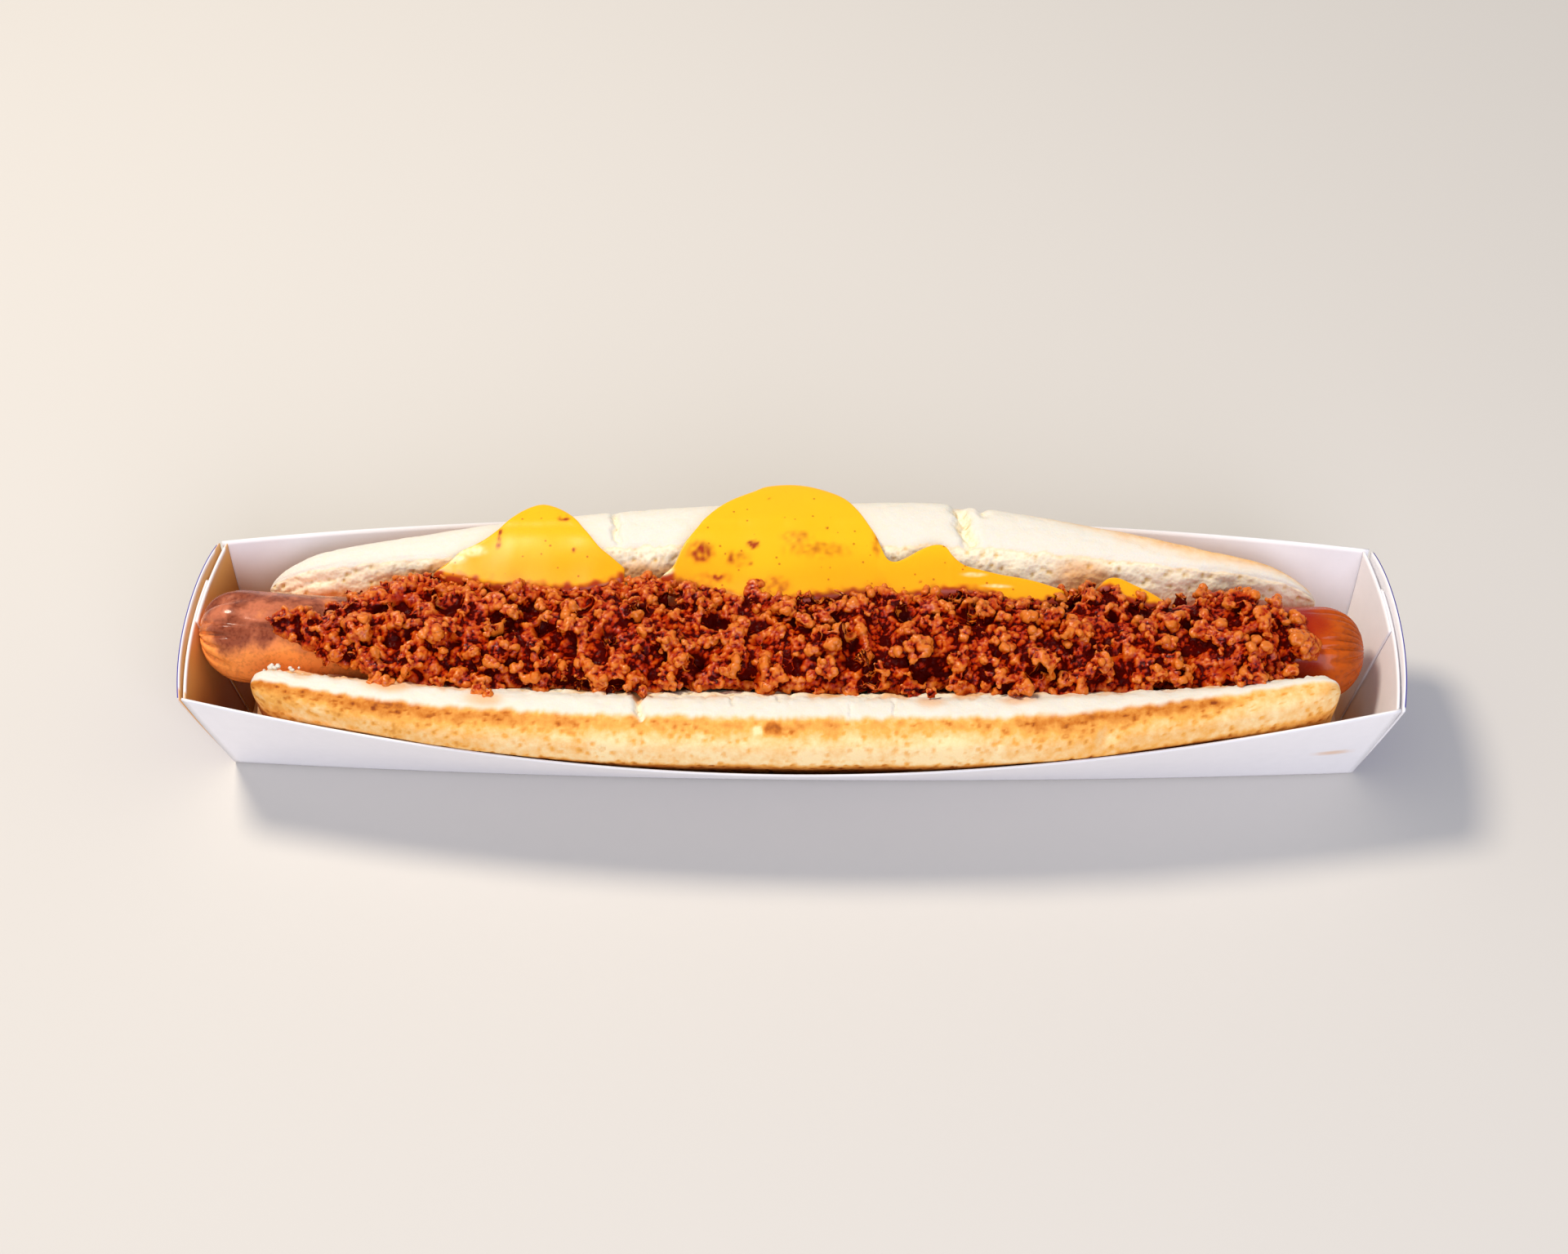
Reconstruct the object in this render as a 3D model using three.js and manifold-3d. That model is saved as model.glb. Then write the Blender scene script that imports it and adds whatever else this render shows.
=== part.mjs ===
// A foot-long hot dog with chili and melted cheese in its folded paper tray.
// Millimetres. X runs along the sausage, Y away from the viewer, Z up.
// The origin is the centre of the tray's underside.

import * as THREE from "three";
import { mergeVertices } from "three/addons/utils/BufferGeometryUtils.js";
import Module from "manifold-3d";

const wasm = await Module();
wasm.setup();

// Driving dimensions

// Free space between two pieces that touch in the real object
const GAP = 0.3;
// Corners closer than this are one corner
const WELD = 1e-3;

const TRAY = {
  baseHalfLength: 149.5,
  rimHalfLength: 154,
  baseHalfWidth: 17.05,
  rimHalfWidth: 28.1,
  // How far the long sides bow out at their middle, at the base and at each rim
  baseBow: 4,
  nearRimBow: 17.6,
  farRimBow: 15.2,
  endBow: 3,
  // Length of the long wall's slope from base to rim, the same all along
  wallSlope: 40.8,
  paper: 0.6,
  panelHeight: 40.6,
  panelHalfLength: 155,
  // The panel's corners are cut lower than its middle
  panelCornerDrop: 2,
  // The far inner flap of each end wall lies on the near one and reaches just past the middle
  flapEdge: -0.8,
  flapDrop: 0.4,
};

const SAUSAGE = {
  length: 304,
  radius: 12.25,
  middleX: -2.6,
  y: -1.5,
  z: 28.5,
  liftLeft: 5.5,
  liftRight: 2.5,
  liftAt: 145,
  tipLength: 12,
  pleats: 7,
  pleatDepth: 0.06,
  sides: 24,
};

const BUN = {
  length: 279,
  middleX: -0.5,
  bottom: TRAY.paper + 0.35,
  troughRadius: 12.85,
  // Length over which the halves round off at their ends
  nearEnd: 7,
  farEnd: 19,
  // The near half stops short at the left, and its ends ride up on the sausage
  nearShort: 3.2,
  nearRiseLeft: 1.6,
  nearRiseRight: 3,
  // The far half is lower at its ends than at its middle
  farDrop: 6,
  // Past these two lines across the trough the halves get thinner towards the ends
  nearSeam: -14.4,
  farSeam: 11.4,
  // The far half is thickest to the right of the middle, beside its tear
  thickestX: 40,
  steps: 32,
};

// Cracks across the top of the halves
const TEARS = [
  { x: 46, y: 30, z: 47.3, width: 2, length: 16, depth: 7 },
  { x: -47, y: 26, z: 46.8, width: 1.4, length: 12, depth: 4 },
  { x: -37.5, y: -30, z: 43.2, width: 1.2, length: 14, depth: 4 },
];

const CHILI = {
  left: -134,
  right: 135,
  // Half the heap's width over the middle of the bun and at its two thin ends
  halfWidth: 17.5,
  endHalfWidth: 4.5,
  // Height of the heap's flank line over the sausage's axis, and of its top and bottom from that
  flank: 9,
  rise: 9,
  endRise: 5.4,
  sink: 3,
  lumpStep: 9.8,
  lumpRadius: 3.1,
  lumpRadiusSpread: 2.9,
  seed: 20377,
};

const CHEESE = {
  thickness: 2.2,
  // Where the slices come out from under the chili
  low: 6.5,
  lowHeight: 42.6,
};

// Small helpers

const clamp = THREE.MathUtils.clamp;
const lerp = THREE.MathUtils.lerp;
const smoothstep = THREE.MathUtils.smoothstep;
const bow = (t) => 1 - t * t;

// A repeatable row of numbers from 0 to 1
function drawsFrom(seed) {
  let state = seed;
  return () => {
    state = (Math.imul(state, 1664525) + 1013904223) >>> 0;
    return state / 2 ** 32;
  };
}

// Position-only geometry whose corners are shared and whose empty triangles are gone
function shared(geometry) {
  const bare = new THREE.BufferGeometry();
  bare.setAttribute("position", geometry.getAttribute("position").clone());
  bare.setIndex(geometry.index ? geometry.index.clone() : null);
  const merged = mergeVertices(bare, WELD);
  const kept = [];
  for (let i = 0; i < merged.index.count; i += 3) {
    const [a, b, c] = [0, 1, 2].map((k) => merged.index.getX(i + k));
    if (a !== b && b !== c && c !== a) kept.push(a, b, c);
  }
  merged.setIndex(kept);
  return merged;
}

function solidOf(geometry) {
  const closed = shared(geometry);
  return new wasm.Manifold(
    new wasm.Mesh({
      numProp: 3,
      vertProperties: closed.attributes.position.array,
      triVerts: new Uint32Array(closed.index.array),
    }),
  );
}

function geometryOf(solid) {
  const mesh = solid.getMesh();
  const geometry = new THREE.BufferGeometry();
  geometry.setAttribute("position", new THREE.BufferAttribute(mesh.vertProperties, 3));
  geometry.setIndex(new THREE.BufferAttribute(mesh.triVerts, 1));
  geometry.computeVertexNormals();
  return geometry;
}

// Moves every corner of a geometry to where place(x, y, z) says
function deform(geometry, place) {
  const position = geometry.getAttribute("position");
  for (let i = 0; i < position.count; i++) {
    position.setXYZ(i, ...place(position.getX(i), position.getY(i), position.getZ(i)));
  }
  return geometry;
}

// The same body with every corner pushed out by a distance, to cut a neighbour clear of it
function grown(geometry, distance) {
  const body = shared(geometry);
  body.computeVertexNormals();
  const position = body.getAttribute("position");
  const normal = body.getAttribute("normal");
  for (let i = 0; i < position.count; i++) {
    position.setXYZ(
      i,
      position.getX(i) + distance * normal.getX(i),
      position.getY(i) + distance * normal.getY(i),
      position.getZ(i) + distance * normal.getZ(i),
    );
  }
  return solidOf(body);
}

function largestBody(solid) {
  return solid.decompose().reduce((a, b) => (a.volume() > b.volume() ? a : b));
}

// Paper tray

const trayBase = (x) => TRAY.baseHalfWidth + TRAY.baseBow * bow(x / TRAY.baseHalfLength);

// Distance of a long wall's rim from the middle; side is above 0 for the far wall
function trayRim(x, side) {
  const rimBow = side > 0 ? TRAY.farRimBow : TRAY.nearRimBow;
  return TRAY.rimHalfWidth + rimBow * bow(x / TRAY.rimHalfLength);
}

// Height of the rim: the sloping wall is equally long everywhere, so it is lowest where it leans most
const trayHeight = (x, side) =>
  Math.sqrt(TRAY.wallSlope ** 2 - (trayRim(x, side) - trayBase(x)) ** 2);

// Distance of a long wall's outer or, with paper taken off, inner face from the middle
function trayHalfWidth(x, z, side, paper = 0) {
  const height = trayHeight(x, side);
  return lerp(trayBase(x), trayRim(x, side), z / height) - (paper * TRAY.wallSlope) / height;
}

// A solid boat: the tray's outer form, or its hollow when paper is taken off all round
function boat(paper, overRim) {
  const block = new THREE.BoxGeometry(2, 2, 1, 22, 4, 2);
  return deform(block, (u, v, w) => {
    const straightX = u * lerp(TRAY.baseHalfLength, TRAY.rimHalfLength, w + 0.5);
    const height = trayHeight(straightX, v);
    const z = lerp(paper, height + overRim, w + 0.5);
    const level = z / height;
    const halfLength = lerp(TRAY.baseHalfLength, TRAY.rimHalfLength, level) - paper;
    const bulge = Math.sign(u) * TRAY.endBow * level * bow(v) * Math.abs(u) ** 9;
    const x = u * halfLength;
    return [x + bulge, v * trayHalfWidth(x, z, v, paper), z];
  });
}

// A sheet of paper standing at one end, bowed like the end wall, between two lines across
function endSheet(side, distance, top, nearEdge, farEdge, cornerDrop = 0) {
  const sheet = new THREE.BoxGeometry(1, 1, 1, 1, 6, 1);
  return deform(sheet, (a, b, c) => {
    const level = c + 0.5;
    const halfWidth = lerp(TRAY.baseHalfWidth, TRAY.rimHalfWidth, level) - TRAY.paper;
    const y = lerp(nearEdge * halfWidth, farEdge * halfWidth, b + 0.5);
    const bulge = TRAY.endBow * level * bow(y / (TRAY.rimHalfWidth + TRAY.paper));
    const x = distance(level) + bulge + a * TRAY.paper;
    const lowered = cornerDrop * (y / TRAY.rimHalfWidth) ** 4;
    return [side * x, side * y, level * (top - lowered)];
  });
}

function tray() {
  const panelX = (level) =>
    lerp(TRAY.baseHalfLength - TRAY.paper / 4, TRAY.panelHalfLength, level);
  const flapX = (level) =>
    lerp(TRAY.baseHalfLength, TRAY.rimHalfLength, level) - 1.3 * TRAY.paper;
  const flapTop = trayHeight(TRAY.rimHalfLength, 1) - TRAY.flapDrop;
  let paper = solidOf(boat(0, 0)).subtract(solidOf(boat(TRAY.paper, 2)));
  for (const side of [-1, 1]) {
    const panel = endSheet(side, panelX, TRAY.panelHeight, -1, 1, TRAY.panelCornerDrop);
    const edge = (side * TRAY.flapEdge) / TRAY.rimHalfWidth;
    const [near, far] = side > 0 ? [edge, 1] : [-1, edge];
    const flap = endSheet(side, flapX, flapTop, near, far);
    paper = paper.add(solidOf(panel)).add(solidOf(flap));
  }
  return geometryOf(largestBody(paper));
}

// Sausage

// How far the sausage is raised off its straight line towards the two ends
function sausageLift(x) {
  const lift = x < 0 ? SAUSAGE.liftLeft : SAUSAGE.liftRight;
  return lift * Math.abs(x / SAUSAGE.liftAt) ** 3;
}

function sausage() {
  const half = SAUSAGE.length / 2;
  const profile = [];
  const tipSteps = 5;
  const bodySteps = 14;
  const radiusAt = (s) => {
    const t = clamp((Math.abs(s) - half + SAUSAGE.tipLength) / SAUSAGE.tipLength, 0, 1);
    return SAUSAGE.radius * Math.sqrt(1 - t ** 2.4);
  };
  for (let i = 0; i <= tipSteps; i++) {
    const s = -half + SAUSAGE.tipLength * (1 - Math.cos((i / tipSteps) * (Math.PI / 2)));
    profile.push(new THREE.Vector2(i ? radiusAt(s) : 0, s));
  }
  for (let i = 1; i < bodySteps; i++) {
    const s = (2 * i / bodySteps - 1) * (half - SAUSAGE.tipLength);
    profile.push(new THREE.Vector2(SAUSAGE.radius, s));
  }
  const rightTip = profile.slice(0, tipSteps + 1).reverse();
  profile.push(...rightTip.map((p) => new THREE.Vector2(p.x, -p.y)));
  const body = new THREE.LatheGeometry(profile, SAUSAGE.sides);
  body.rotateZ(-Math.PI / 2);
  return deform(body, (s, y, z) => {
    const x = s + SAUSAGE.middleX;
    // The casing is gathered in pleats at each tip
    const tip = smoothstep(Math.abs(s), half - SAUSAGE.tipLength, half);
    const fold = 1 + Math.cos(SAUSAGE.pleats * Math.atan2(z, y));
    const pleat = 1 - SAUSAGE.pleatDepth * tip * fold;
    return [x, SAUSAGE.y + y * pleat, SAUSAGE.z + sausageLift(x) + z * pleat];
  });
}

// Bun

const at = (y, z) => new THREE.Vector2(y, z);

// The section halfway along, as across and up: near side, trough, far side
const nearSide = new THREE.SplineCurve([
  at(-17, BUN.bottom),
  at(-24, 5.5),
  at(-33, 17),
  at(-40, 27.5),
  at(-43.8, 34.5),
  at(-43, 39.8),
  at(-39.8, 42.5),
  at(-35, 43.4),
  at(-30, 42.8),
  at(-26.3, 40.2),
  at(-20.2, 34.5),
  at(-14.9, 29),
]);
const trough = new THREE.EllipseCurve(
  SAUSAGE.y, SAUSAGE.z, BUN.troughRadius, BUN.troughRadius, Math.PI, 2 * Math.PI,
);
const farSide = new THREE.SplineCurve([
  at(12, 30.5),
  at(13.6, 35),
  at(17.5, 41),
  at(21, 45.3),
  at(25, 47),
  at(32, 47.3),
  at(37.5, 46),
  at(40.8, 42),
  at(42, 36),
  at(40.5, 29),
  at(34, 18.5),
  at(25, 6),
  at(17, BUN.bottom),
]);

// The line inside the dough that the ends round off towards
const bunSpine = [
  [-34, 38],
  [-30, 29],
  [-20, 15],
  [SAUSAGE.y, 8],
  [18, 16],
  [29, 29],
  [29.5, 35],
].map(([y, z]) => new THREE.Vector3(y, z, 0));

function nearestOnSpine(y, z) {
  const from = new THREE.Vector3(y, z, 0);
  const nearest = bunSpine.slice(1).map((end, i) => {
    const stretch = new THREE.Line3(bunSpine[i], end);
    return stretch.closestPointToPoint(from, true, new THREE.Vector3());
  });
  return nearest.reduce((a, b) => (a.distanceTo(from) < b.distanceTo(from) ? a : b));
}

// How much of its middle thickness each half keeps along the bun
const nearWidth = (x) => 1 - 0.5 * Math.abs(x / 136) ** 2.6;

function farWidth(x) {
  const past = x - BUN.thickestX;
  return past < 0 ? 1 - 0.7 * (-past / 180) ** 2.2 : 1 - 0.8 * (past / 100) ** 1.3;
}

// Where a point of the middle section lies at another place along the bun
function bunPoint(x, y, z) {
  const half = BUN.length / 2;
  const endLength = lerp(BUN.nearEnd, BUN.farEnd, smoothstep(y, -6, 16));
  const fromEnd = clamp((Math.abs(x - BUN.middleX) - half + endLength) / endLength, 0, 1);
  const plump = Math.sqrt(Math.max(0.12, 1 - fromEnd ** 2));
  const core = nearestOnSpine(y, z);
  let across = lerp(core.x, y, plump);
  let up = lerp(core.y, z, plump);
  const beside = Math.abs(across - SAUSAGE.y);
  const rides = smoothstep(up, 2, 14) * (1 - smoothstep(beside, 14.4, 22));
  if (across < BUN.nearSeam) {
    const rise = x < 0 ? BUN.nearRiseLeft : BUN.nearRiseRight;
    up += rise * smoothstep(up, 18, 40) * (x / half) ** 4;
    across = BUN.nearSeam + (across - BUN.nearSeam) * nearWidth(x);
  }
  if (across > BUN.farSeam) {
    up -= BUN.farDrop * smoothstep(up, 20, 47) * (x / half) ** 2;
    across = BUN.farSeam + (across - BUN.farSeam) * farWidth(x);
  }
  up += rides * sausageLift(x);
  if (up < trayHeight(x, across) + 1) {
    const room = trayHalfWidth(x, up, across, TRAY.paper) - GAP - 0.25;
    across = clamp(across, -room, room);
  }
  return [across, up];
}

// A wedge pushed down into the crust
function tear({ x, y, z, width, length, depth }) {
  const outline = new THREE.Shape([at(-width / 2, 1.5), at(0, -depth), at(width / 2, 1.5)]);
  const wedge = new THREE.ExtrudeGeometry(outline, { depth: length, bevelEnabled: false });
  wedge.translate(0, 0, -length / 2);
  wedge.rotateX(Math.PI / 2);
  wedge.rotateZ(0.12);
  wedge.translate(x, y, z);
  return solidOf(wedge);
}

const bunContour = [
  ...nearSide.getPoints(13),
  ...trough.getPoints(8),
  ...farSide.getPoints(13),
];

function bun() {
  const settings = { depth: 2, steps: BUN.steps, bevelEnabled: false };
  const block = new THREE.ExtrudeGeometry(new THREE.Shape(bunContour), settings);
  const loaf = deform(block, (y, z, along) => {
    const x = BUN.middleX + (BUN.length / 2) * Math.sin((along - 1) * (Math.PI / 2));
    const short = BUN.nearShort * smoothstep(-y, 12, 20) * smoothstep(-x, 90, 140);
    return [x + short, ...bunPoint(x, y, z)];
  });
  const torn = TEARS.reduce((rest, place) => rest.subtract(tear(place)), solidOf(loaf));
  return geometryOf(largestBody(torn));
}

// Height of the far half's crumb and crust over a place on the plan
function bunTop(x, y) {
  let top = 0;
  const line = bunContour.map((p) => bunPoint(x, p.x, p.y));
  for (let i = 1; i < line.length; i++) {
    const [[y0, z0], [y1, z1]] = [line[i - 1], line[i]];
    if ((y0 - y) * (y1 - y) > 0 || y0 === y1) continue;
    top = Math.max(top, lerp(z0, z1, (y - y0) / (y1 - y0)));
  }
  return top;
}

// Cheese: thin slices melted over the far half of the bun

// The level a slice keeps where the bun under it falls away
function cheeseRest(x, y) {
  const crest = bunTop(x, 26) + 0.4;
  const overFilling = lerp(CHEESE.lowHeight, crest, smoothstep(y, 5, 24));
  const overEdge = crest + 0.5 - 0.012 * Math.max(0, y - 32) ** 2;
  return y < 26 ? overFilling : overEdge;
}

// A melted slice between two edges on the plan, both given as functions of x
function slice(from, to, low, high, cells) {
  const sheet = new THREE.BoxGeometry(1, 1, 1, cells, 5, 1);
  return deform(sheet, (a, b, c) => {
    const x = lerp(from, to, a + 0.5);
    const y = lerp(low(x), high(x), b + 0.5);
    const under = Math.max(bunTop(x, y) + 2 * GAP, cheeseRest(x, y));
    return [x, y, under + (c + 0.5) * CHEESE.thickness];
  });
}

// A slice's rounded corner: widest at its low edge, ending in a soft tip
function lobe(x, middle, left, right, reach, power, roundness) {
  const away = (x - middle) / (x < middle ? left : right);
  const fullness = Math.max(0, 1 - Math.abs(away) ** power) ** roundness;
  return CHEESE.low + 1.2 + reach * fullness;
}

const lowEdge = () => CHEESE.low;

function cheeseLeft() {
  const edge = (x) => lobe(x, -66.5, 28, 20.5, 26.3, 1.35, 0.85);
  return slice(-94, -46, lowEdge, edge, 12);
}

function cheeseMiddle() {
  const edge = (x) => lobe(x, -2.8, 29.3, 29, 34.3, 1.6, 0.52);
  return slice(-31.8, 26, lowEdge, edge, 14);
}

function cheeseRight() {
  // The upper edge climbs to a small peak beside the bun's tear, then runs low to the right
  const edge = (x) => {
    const falling = lerp(17.5, 9, smoothstep(x, 38, 66));
    return falling + 3.5 * Math.exp(-(((x - 38.5) / 3.5) ** 2));
  };
  return slice(26.5, 72, lowEdge, edge, 12);
}

// Chili: one heap of sauce with crumbles of ground meat fused on

// Half the heap's width and the line of its middle along the sausage
function heapHalfWidth(x) {
  const tongue = smoothstep(x, CHILI.left, -92);
  const tail = 1 - smoothstep(x, 100, CHILI.right);
  return lerp(CHILI.endHalfWidth, CHILI.halfWidth, tongue * tail);
}
const heapMiddle = (x) => -8.7 + 1.5 * smoothstep(x, CHILI.left, -100);

function heapRise(x) {
  const tongue = smoothstep(x, CHILI.left, -88);
  const tail = 1 - smoothstep(x, 108, CHILI.right);
  return lerp(CHILI.endRise, CHILI.rise, tongue * tail);
}

const heapFlank = (x) => SAUSAGE.z + sausageLift(x) + CHILI.flank;

// A point on the heap's skin: angle 0 is its far flank and half a turn its near flank
function heapPoint(x, angle, scale = 1) {
  const up = Math.sin(angle);
  const swell = 1 + 0.05 * Math.sin(x / 9) + 0.04 * Math.sin(x / 4.1 + 2 * angle);
  const y = heapMiddle(x) + heapHalfWidth(x) * Math.cos(angle) * swell * scale;
  const reach = up > 0 ? heapRise(x) * swell : CHILI.sink;
  return [x, y, heapFlank(x) + reach * up * scale];
}

function heapCore() {
  const block = new THREE.CylinderGeometry(1, 1, 2, 12, 22);
  block.rotateZ(-Math.PI / 2);
  const middle = (CHILI.left + CHILI.right) / 2;
  const half = (CHILI.right - CHILI.left) / 2;
  return deform(block, (u, v, w) => {
    const scale = Math.hypot(v, w);
    return heapPoint(middle + u * half, Math.atan2(w, v), scale);
  });
}

// One crumble of meat: a rough lump, stretched and turned by chance
function crumble(draw, x, y, z, radius) {
  const lump = new THREE.IcosahedronGeometry(radius, 0);
  lump.scale(0.85 + 0.5 * draw(), 0.8 + 0.35 * draw(), 0.7 + 0.3 * draw());
  lump.rotateZ(draw() * Math.PI);
  lump.rotateX((draw() - 0.5) * 1.2);
  lump.translate(x, y, z);
  return solidOf(lump);
}

function crumbles() {
  const draw = drawsFrom(CHILI.seed);
  const lumps = [];
  for (let x = CHILI.left + 3; x < CHILI.right - 2; x += CHILI.lumpStep) {
    const across = Math.max(2, Math.round((heapHalfWidth(x) * 2.5) / CHILI.lumpStep));
    for (let i = 0; i < across; i++) {
      const angle = Math.PI * lerp(0.04, 0.97, (i + 0.15 + 0.7 * draw()) / across);
      const place = heapPoint(x + (draw() - 0.5) * CHILI.lumpStep, angle, 0.96 + 0.05 * draw());
      const radius = CHILI.lumpRadius + CHILI.lumpRadiusSpread * draw() ** 1.5;
      lumps.push(crumble(draw, ...place, radius));
    }
  }
  return lumps;
}

function chili(neighbours) {
  const heap = wasm.Manifold.union([solidOf(heapCore()), ...crumbles()]);
  const clear = neighbours.reduce((rest, body) => rest.subtract(grown(body, GAP)), heap);
  return geometryOf(largestBody(clear));
}

// The parts together

function part(name, geometry, color, roughness) {
  const material = new THREE.MeshStandardMaterial({ color, roughness, metalness: 0 });
  const mesh = new THREE.Mesh(geometry, material);
  mesh.name = name;
  return mesh;
}

const bunBody = bun();
const sausageBody = geometryOf(solidOf(sausage()));
const slices = [cheeseLeft(), cheeseMiddle(), cheeseRight()].map((s) => geometryOf(solidOf(s)));
const chiliBody = chili([bunBody, sausageBody, ...slices]);

const hotDog = new THREE.Group();
hotDog.add(
  part("tray", tray(), 0xefecee, 0.7),
  part("bun", bunBody, 0xe9c88c, 0.8),
  part("sausage", sausageBody, 0xb4602c, 0.3),
  part("chili", chiliBody, 0x98300f, 0.3),
  part("cheese_left", slices[0], 0xfdbb22, 0.4),
  part("cheese_middle", slices[1], 0xfdbb22, 0.4),
  part("cheese_right", slices[2], 0xfdbb22, 0.4),
);

export default hotDog;
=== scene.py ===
"""A foot-long hot dog with chili and melted cheese in its folded paper tray."""

import math

import bmesh
import bpy
import numpy as np
from bpy.props import FloatProperty, FloatVectorProperty, IntProperty, PointerProperty
from mathutils import Matrix, Vector, noise


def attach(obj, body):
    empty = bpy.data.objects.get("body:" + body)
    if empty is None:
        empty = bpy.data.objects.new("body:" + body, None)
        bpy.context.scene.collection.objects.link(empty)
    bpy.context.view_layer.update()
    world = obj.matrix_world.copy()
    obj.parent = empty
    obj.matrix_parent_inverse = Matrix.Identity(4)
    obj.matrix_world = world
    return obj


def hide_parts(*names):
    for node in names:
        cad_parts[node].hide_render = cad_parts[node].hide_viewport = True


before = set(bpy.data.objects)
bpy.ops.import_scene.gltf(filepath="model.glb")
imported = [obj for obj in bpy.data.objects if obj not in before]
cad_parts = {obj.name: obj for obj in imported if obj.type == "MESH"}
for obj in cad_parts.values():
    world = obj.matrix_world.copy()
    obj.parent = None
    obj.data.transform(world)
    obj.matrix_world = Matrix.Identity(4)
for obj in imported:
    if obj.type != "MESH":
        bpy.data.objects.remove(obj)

bl_info = {
    "name": "Chili Cheese Hot Dog",
    "version": (1, 0, 0),
    "blender": (4, 5, 0),
    "location": "View3D > Sidebar > Hot Dog",
    "description": "Makes the tray, bun, sausage, chili and cheese round the packed model",
    "category": "Object",
}

# All sizes below are millimetres, and a finished mesh is scaled to metres
MM = 0.001

# Paper tray: half sizes, how far the sides bow out, and the length of the long wall's slope
BASE_HALF_LENGTH, RIM_HALF_LENGTH = 149.5, 154.0
BASE_HALF_WIDTH, RIM_HALF_WIDTH = 17.05, 28.1
BASE_BOW, NEAR_RIM_BOW, FAR_RIM_BOW, END_BOW = 4.0, 17.6, 15.2, 3.0
WALL_SLOPE = 40.8
PAPER = 0.6
PANEL_HEIGHT, PANEL_HALF_LENGTH, PANEL_CORNER_DROP = 40.6, 155.0, 2.0
# How far the panels stand inside the walls, and the share of their width that is printed
PANEL_INSET, PRINT_SHARE = 0.3, 0.97
# Share of the sheet's width that each long wall takes
WALL_SHARE = 0.36

# Sausage
SAUSAGE_LENGTH, SAUSAGE_RADIUS = 304.0, 12.25
SAUSAGE_X, SAUSAGE_Y, SAUSAGE_Z = -2.6, -1.5, 28.5
LIFT_LEFT, LIFT_RIGHT, LIFT_AT = 5.5, 2.5, 145.0
TIP_LENGTH = 12.0
# Creases where the casing is gathered at each tip: which end, how many, how deep, half width
# of one in radians and reach along the sausage
TIP_CREASES = [(-1, 14, 1.9, 0.085, 19), (1, 24, 1.5, 0.05, 18)]

# Bun
BUN_LENGTH, BUN_X, BUN_BOTTOM = 279.0, -0.5, 0.95
TROUGH_RADIUS = 12.85
NEAR_END, FAR_END, END_PLUMP = 7.0, 19.0, 0.015
NEAR_SHORT = 3.2
NEAR_RISE_LEFT, NEAR_RISE_RIGHT, FAR_DROP = 1.6, 3.0, 6.0
NEAR_SEAM, FAR_SEAM = -14.4, 11.4
THICKEST_X = 40.0
NEAR_SIDE = [
    (-17, BUN_BOTTOM), (-24, 5.5), (-33, 17), (-40, 27.5), (-43.8, 34.5), (-43, 39.8),
    (-39.8, 42.5), (-35, 43.4), (-30, 42.8), (-26.3, 40.2), (-20.2, 34.5), (-14.9, 29),
]
FAR_SIDE = [
    (12, 30.5), (13.6, 35), (17.5, 41), (21, 45.3), (25, 47), (32, 47.3), (37.5, 46),
    (40.8, 42), (42, 36), (40.5, 29), (34, 18.5), (25, 6), (17, BUN_BOTTOM),
]
# Where the near half's pale band ends, on the middle section, and where the skin gives way to
# the torn crumb on each half
BAND_EDGE = (-35.2, 43.4)
NEAR_CRUMB_EDGE, FAR_CRUMB_EDGE = -27.2, 22.0
BUN_SPINE = [(-34, 38), (-30, 29), (-20, 15), (SAUSAGE_Y, 8), (18, 16), (29, 29), (29.5, 35)]
# Cracks across the top of the halves: place, half width, half length and depth
TEARS = [
    {"x": 46, "y": 31, "wide": 1.9, "long": 10, "deep": 4.2},
    {"x": 51, "y": 38, "wide": 1.3, "long": 5, "deep": 1.6},
    {"x": -47, "y": 31, "wide": 0.9, "long": 9, "deep": 2.2},
    {"x": -37.5, "y": -31, "wide": 1.0, "long": 7, "deep": 2.6},
    {"x": -25, "y": 23, "wide": 0.4, "long": 4, "deep": 0.8},
    {"x": -14, "y": -29, "wide": 0.35, "long": 3, "deep": 0.9},
    {"x": -2, "y": -29, "wide": 0.3, "long": 2, "deep": 0.7},
    {"x": 16, "y": -33, "wide": 0.3, "long": 2.5, "deep": 0.7},
    {"x": 27, "y": -32, "wide": 0.4, "long": 3.5, "deep": 1.0},
]

# Where sauce ran over the bread: place on the middle section's plan, sizes and strength
SOAKED = [
    (-102, -30, 7, 3.5, 0.9), (-76, -32.5, 5, 3, 0.8), (36, -30, 4, 2.5, 0.7),
    (58, -29.5, 5, 2.2, 0.7), (-126, -30, 3, 3, 0.4), (77, 17.5, 8, 4, 0.9), (-90, 17, 12, 3, 0.5),
]

# Chili heap
CHILI_LEFT, CHILI_RIGHT = -134.0, 136.0
HEAP_HALF_WIDTH, HEAP_END_HALF_WIDTH = 17.5, 4.5
HEAP_FLANK, HEAP_RISE, HEAP_END_RISE, HEAP_SINK = 9.0, 9.0, 5.4, 3.0
# Above this height the crumbles are pressed a little flatter
HEAP_TOP = 50.0
# Size of the heap's body under its crumbles, as a share of the whole
HEAP_CORE = 0.84
# How deep a pit is and how far it reaches, as a share of its radius
PIT_DEPTH, PIT_REACH = 3.2, 1.3
# Rounds of smoothing that each relief is measured against: grains, crumbles and the heap
RELIEF_STEPS = (5, 45, 170)
# Long crests wind over the heap
CREST_SIZE, CREST_SEED = 11, 3.3
# Rows of crumbles: spacing, how many, how deep they sit, smallest radius and how far it varies
CRUMBLE_STEP, CRUMBLES_IN_ROW, CRUMBLE_DEPTH = 5.2, 2.4, 0.86
CRUMBLE_RADIUS, CRUMBLE_SPREAD = 1.4, 2.2
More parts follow.
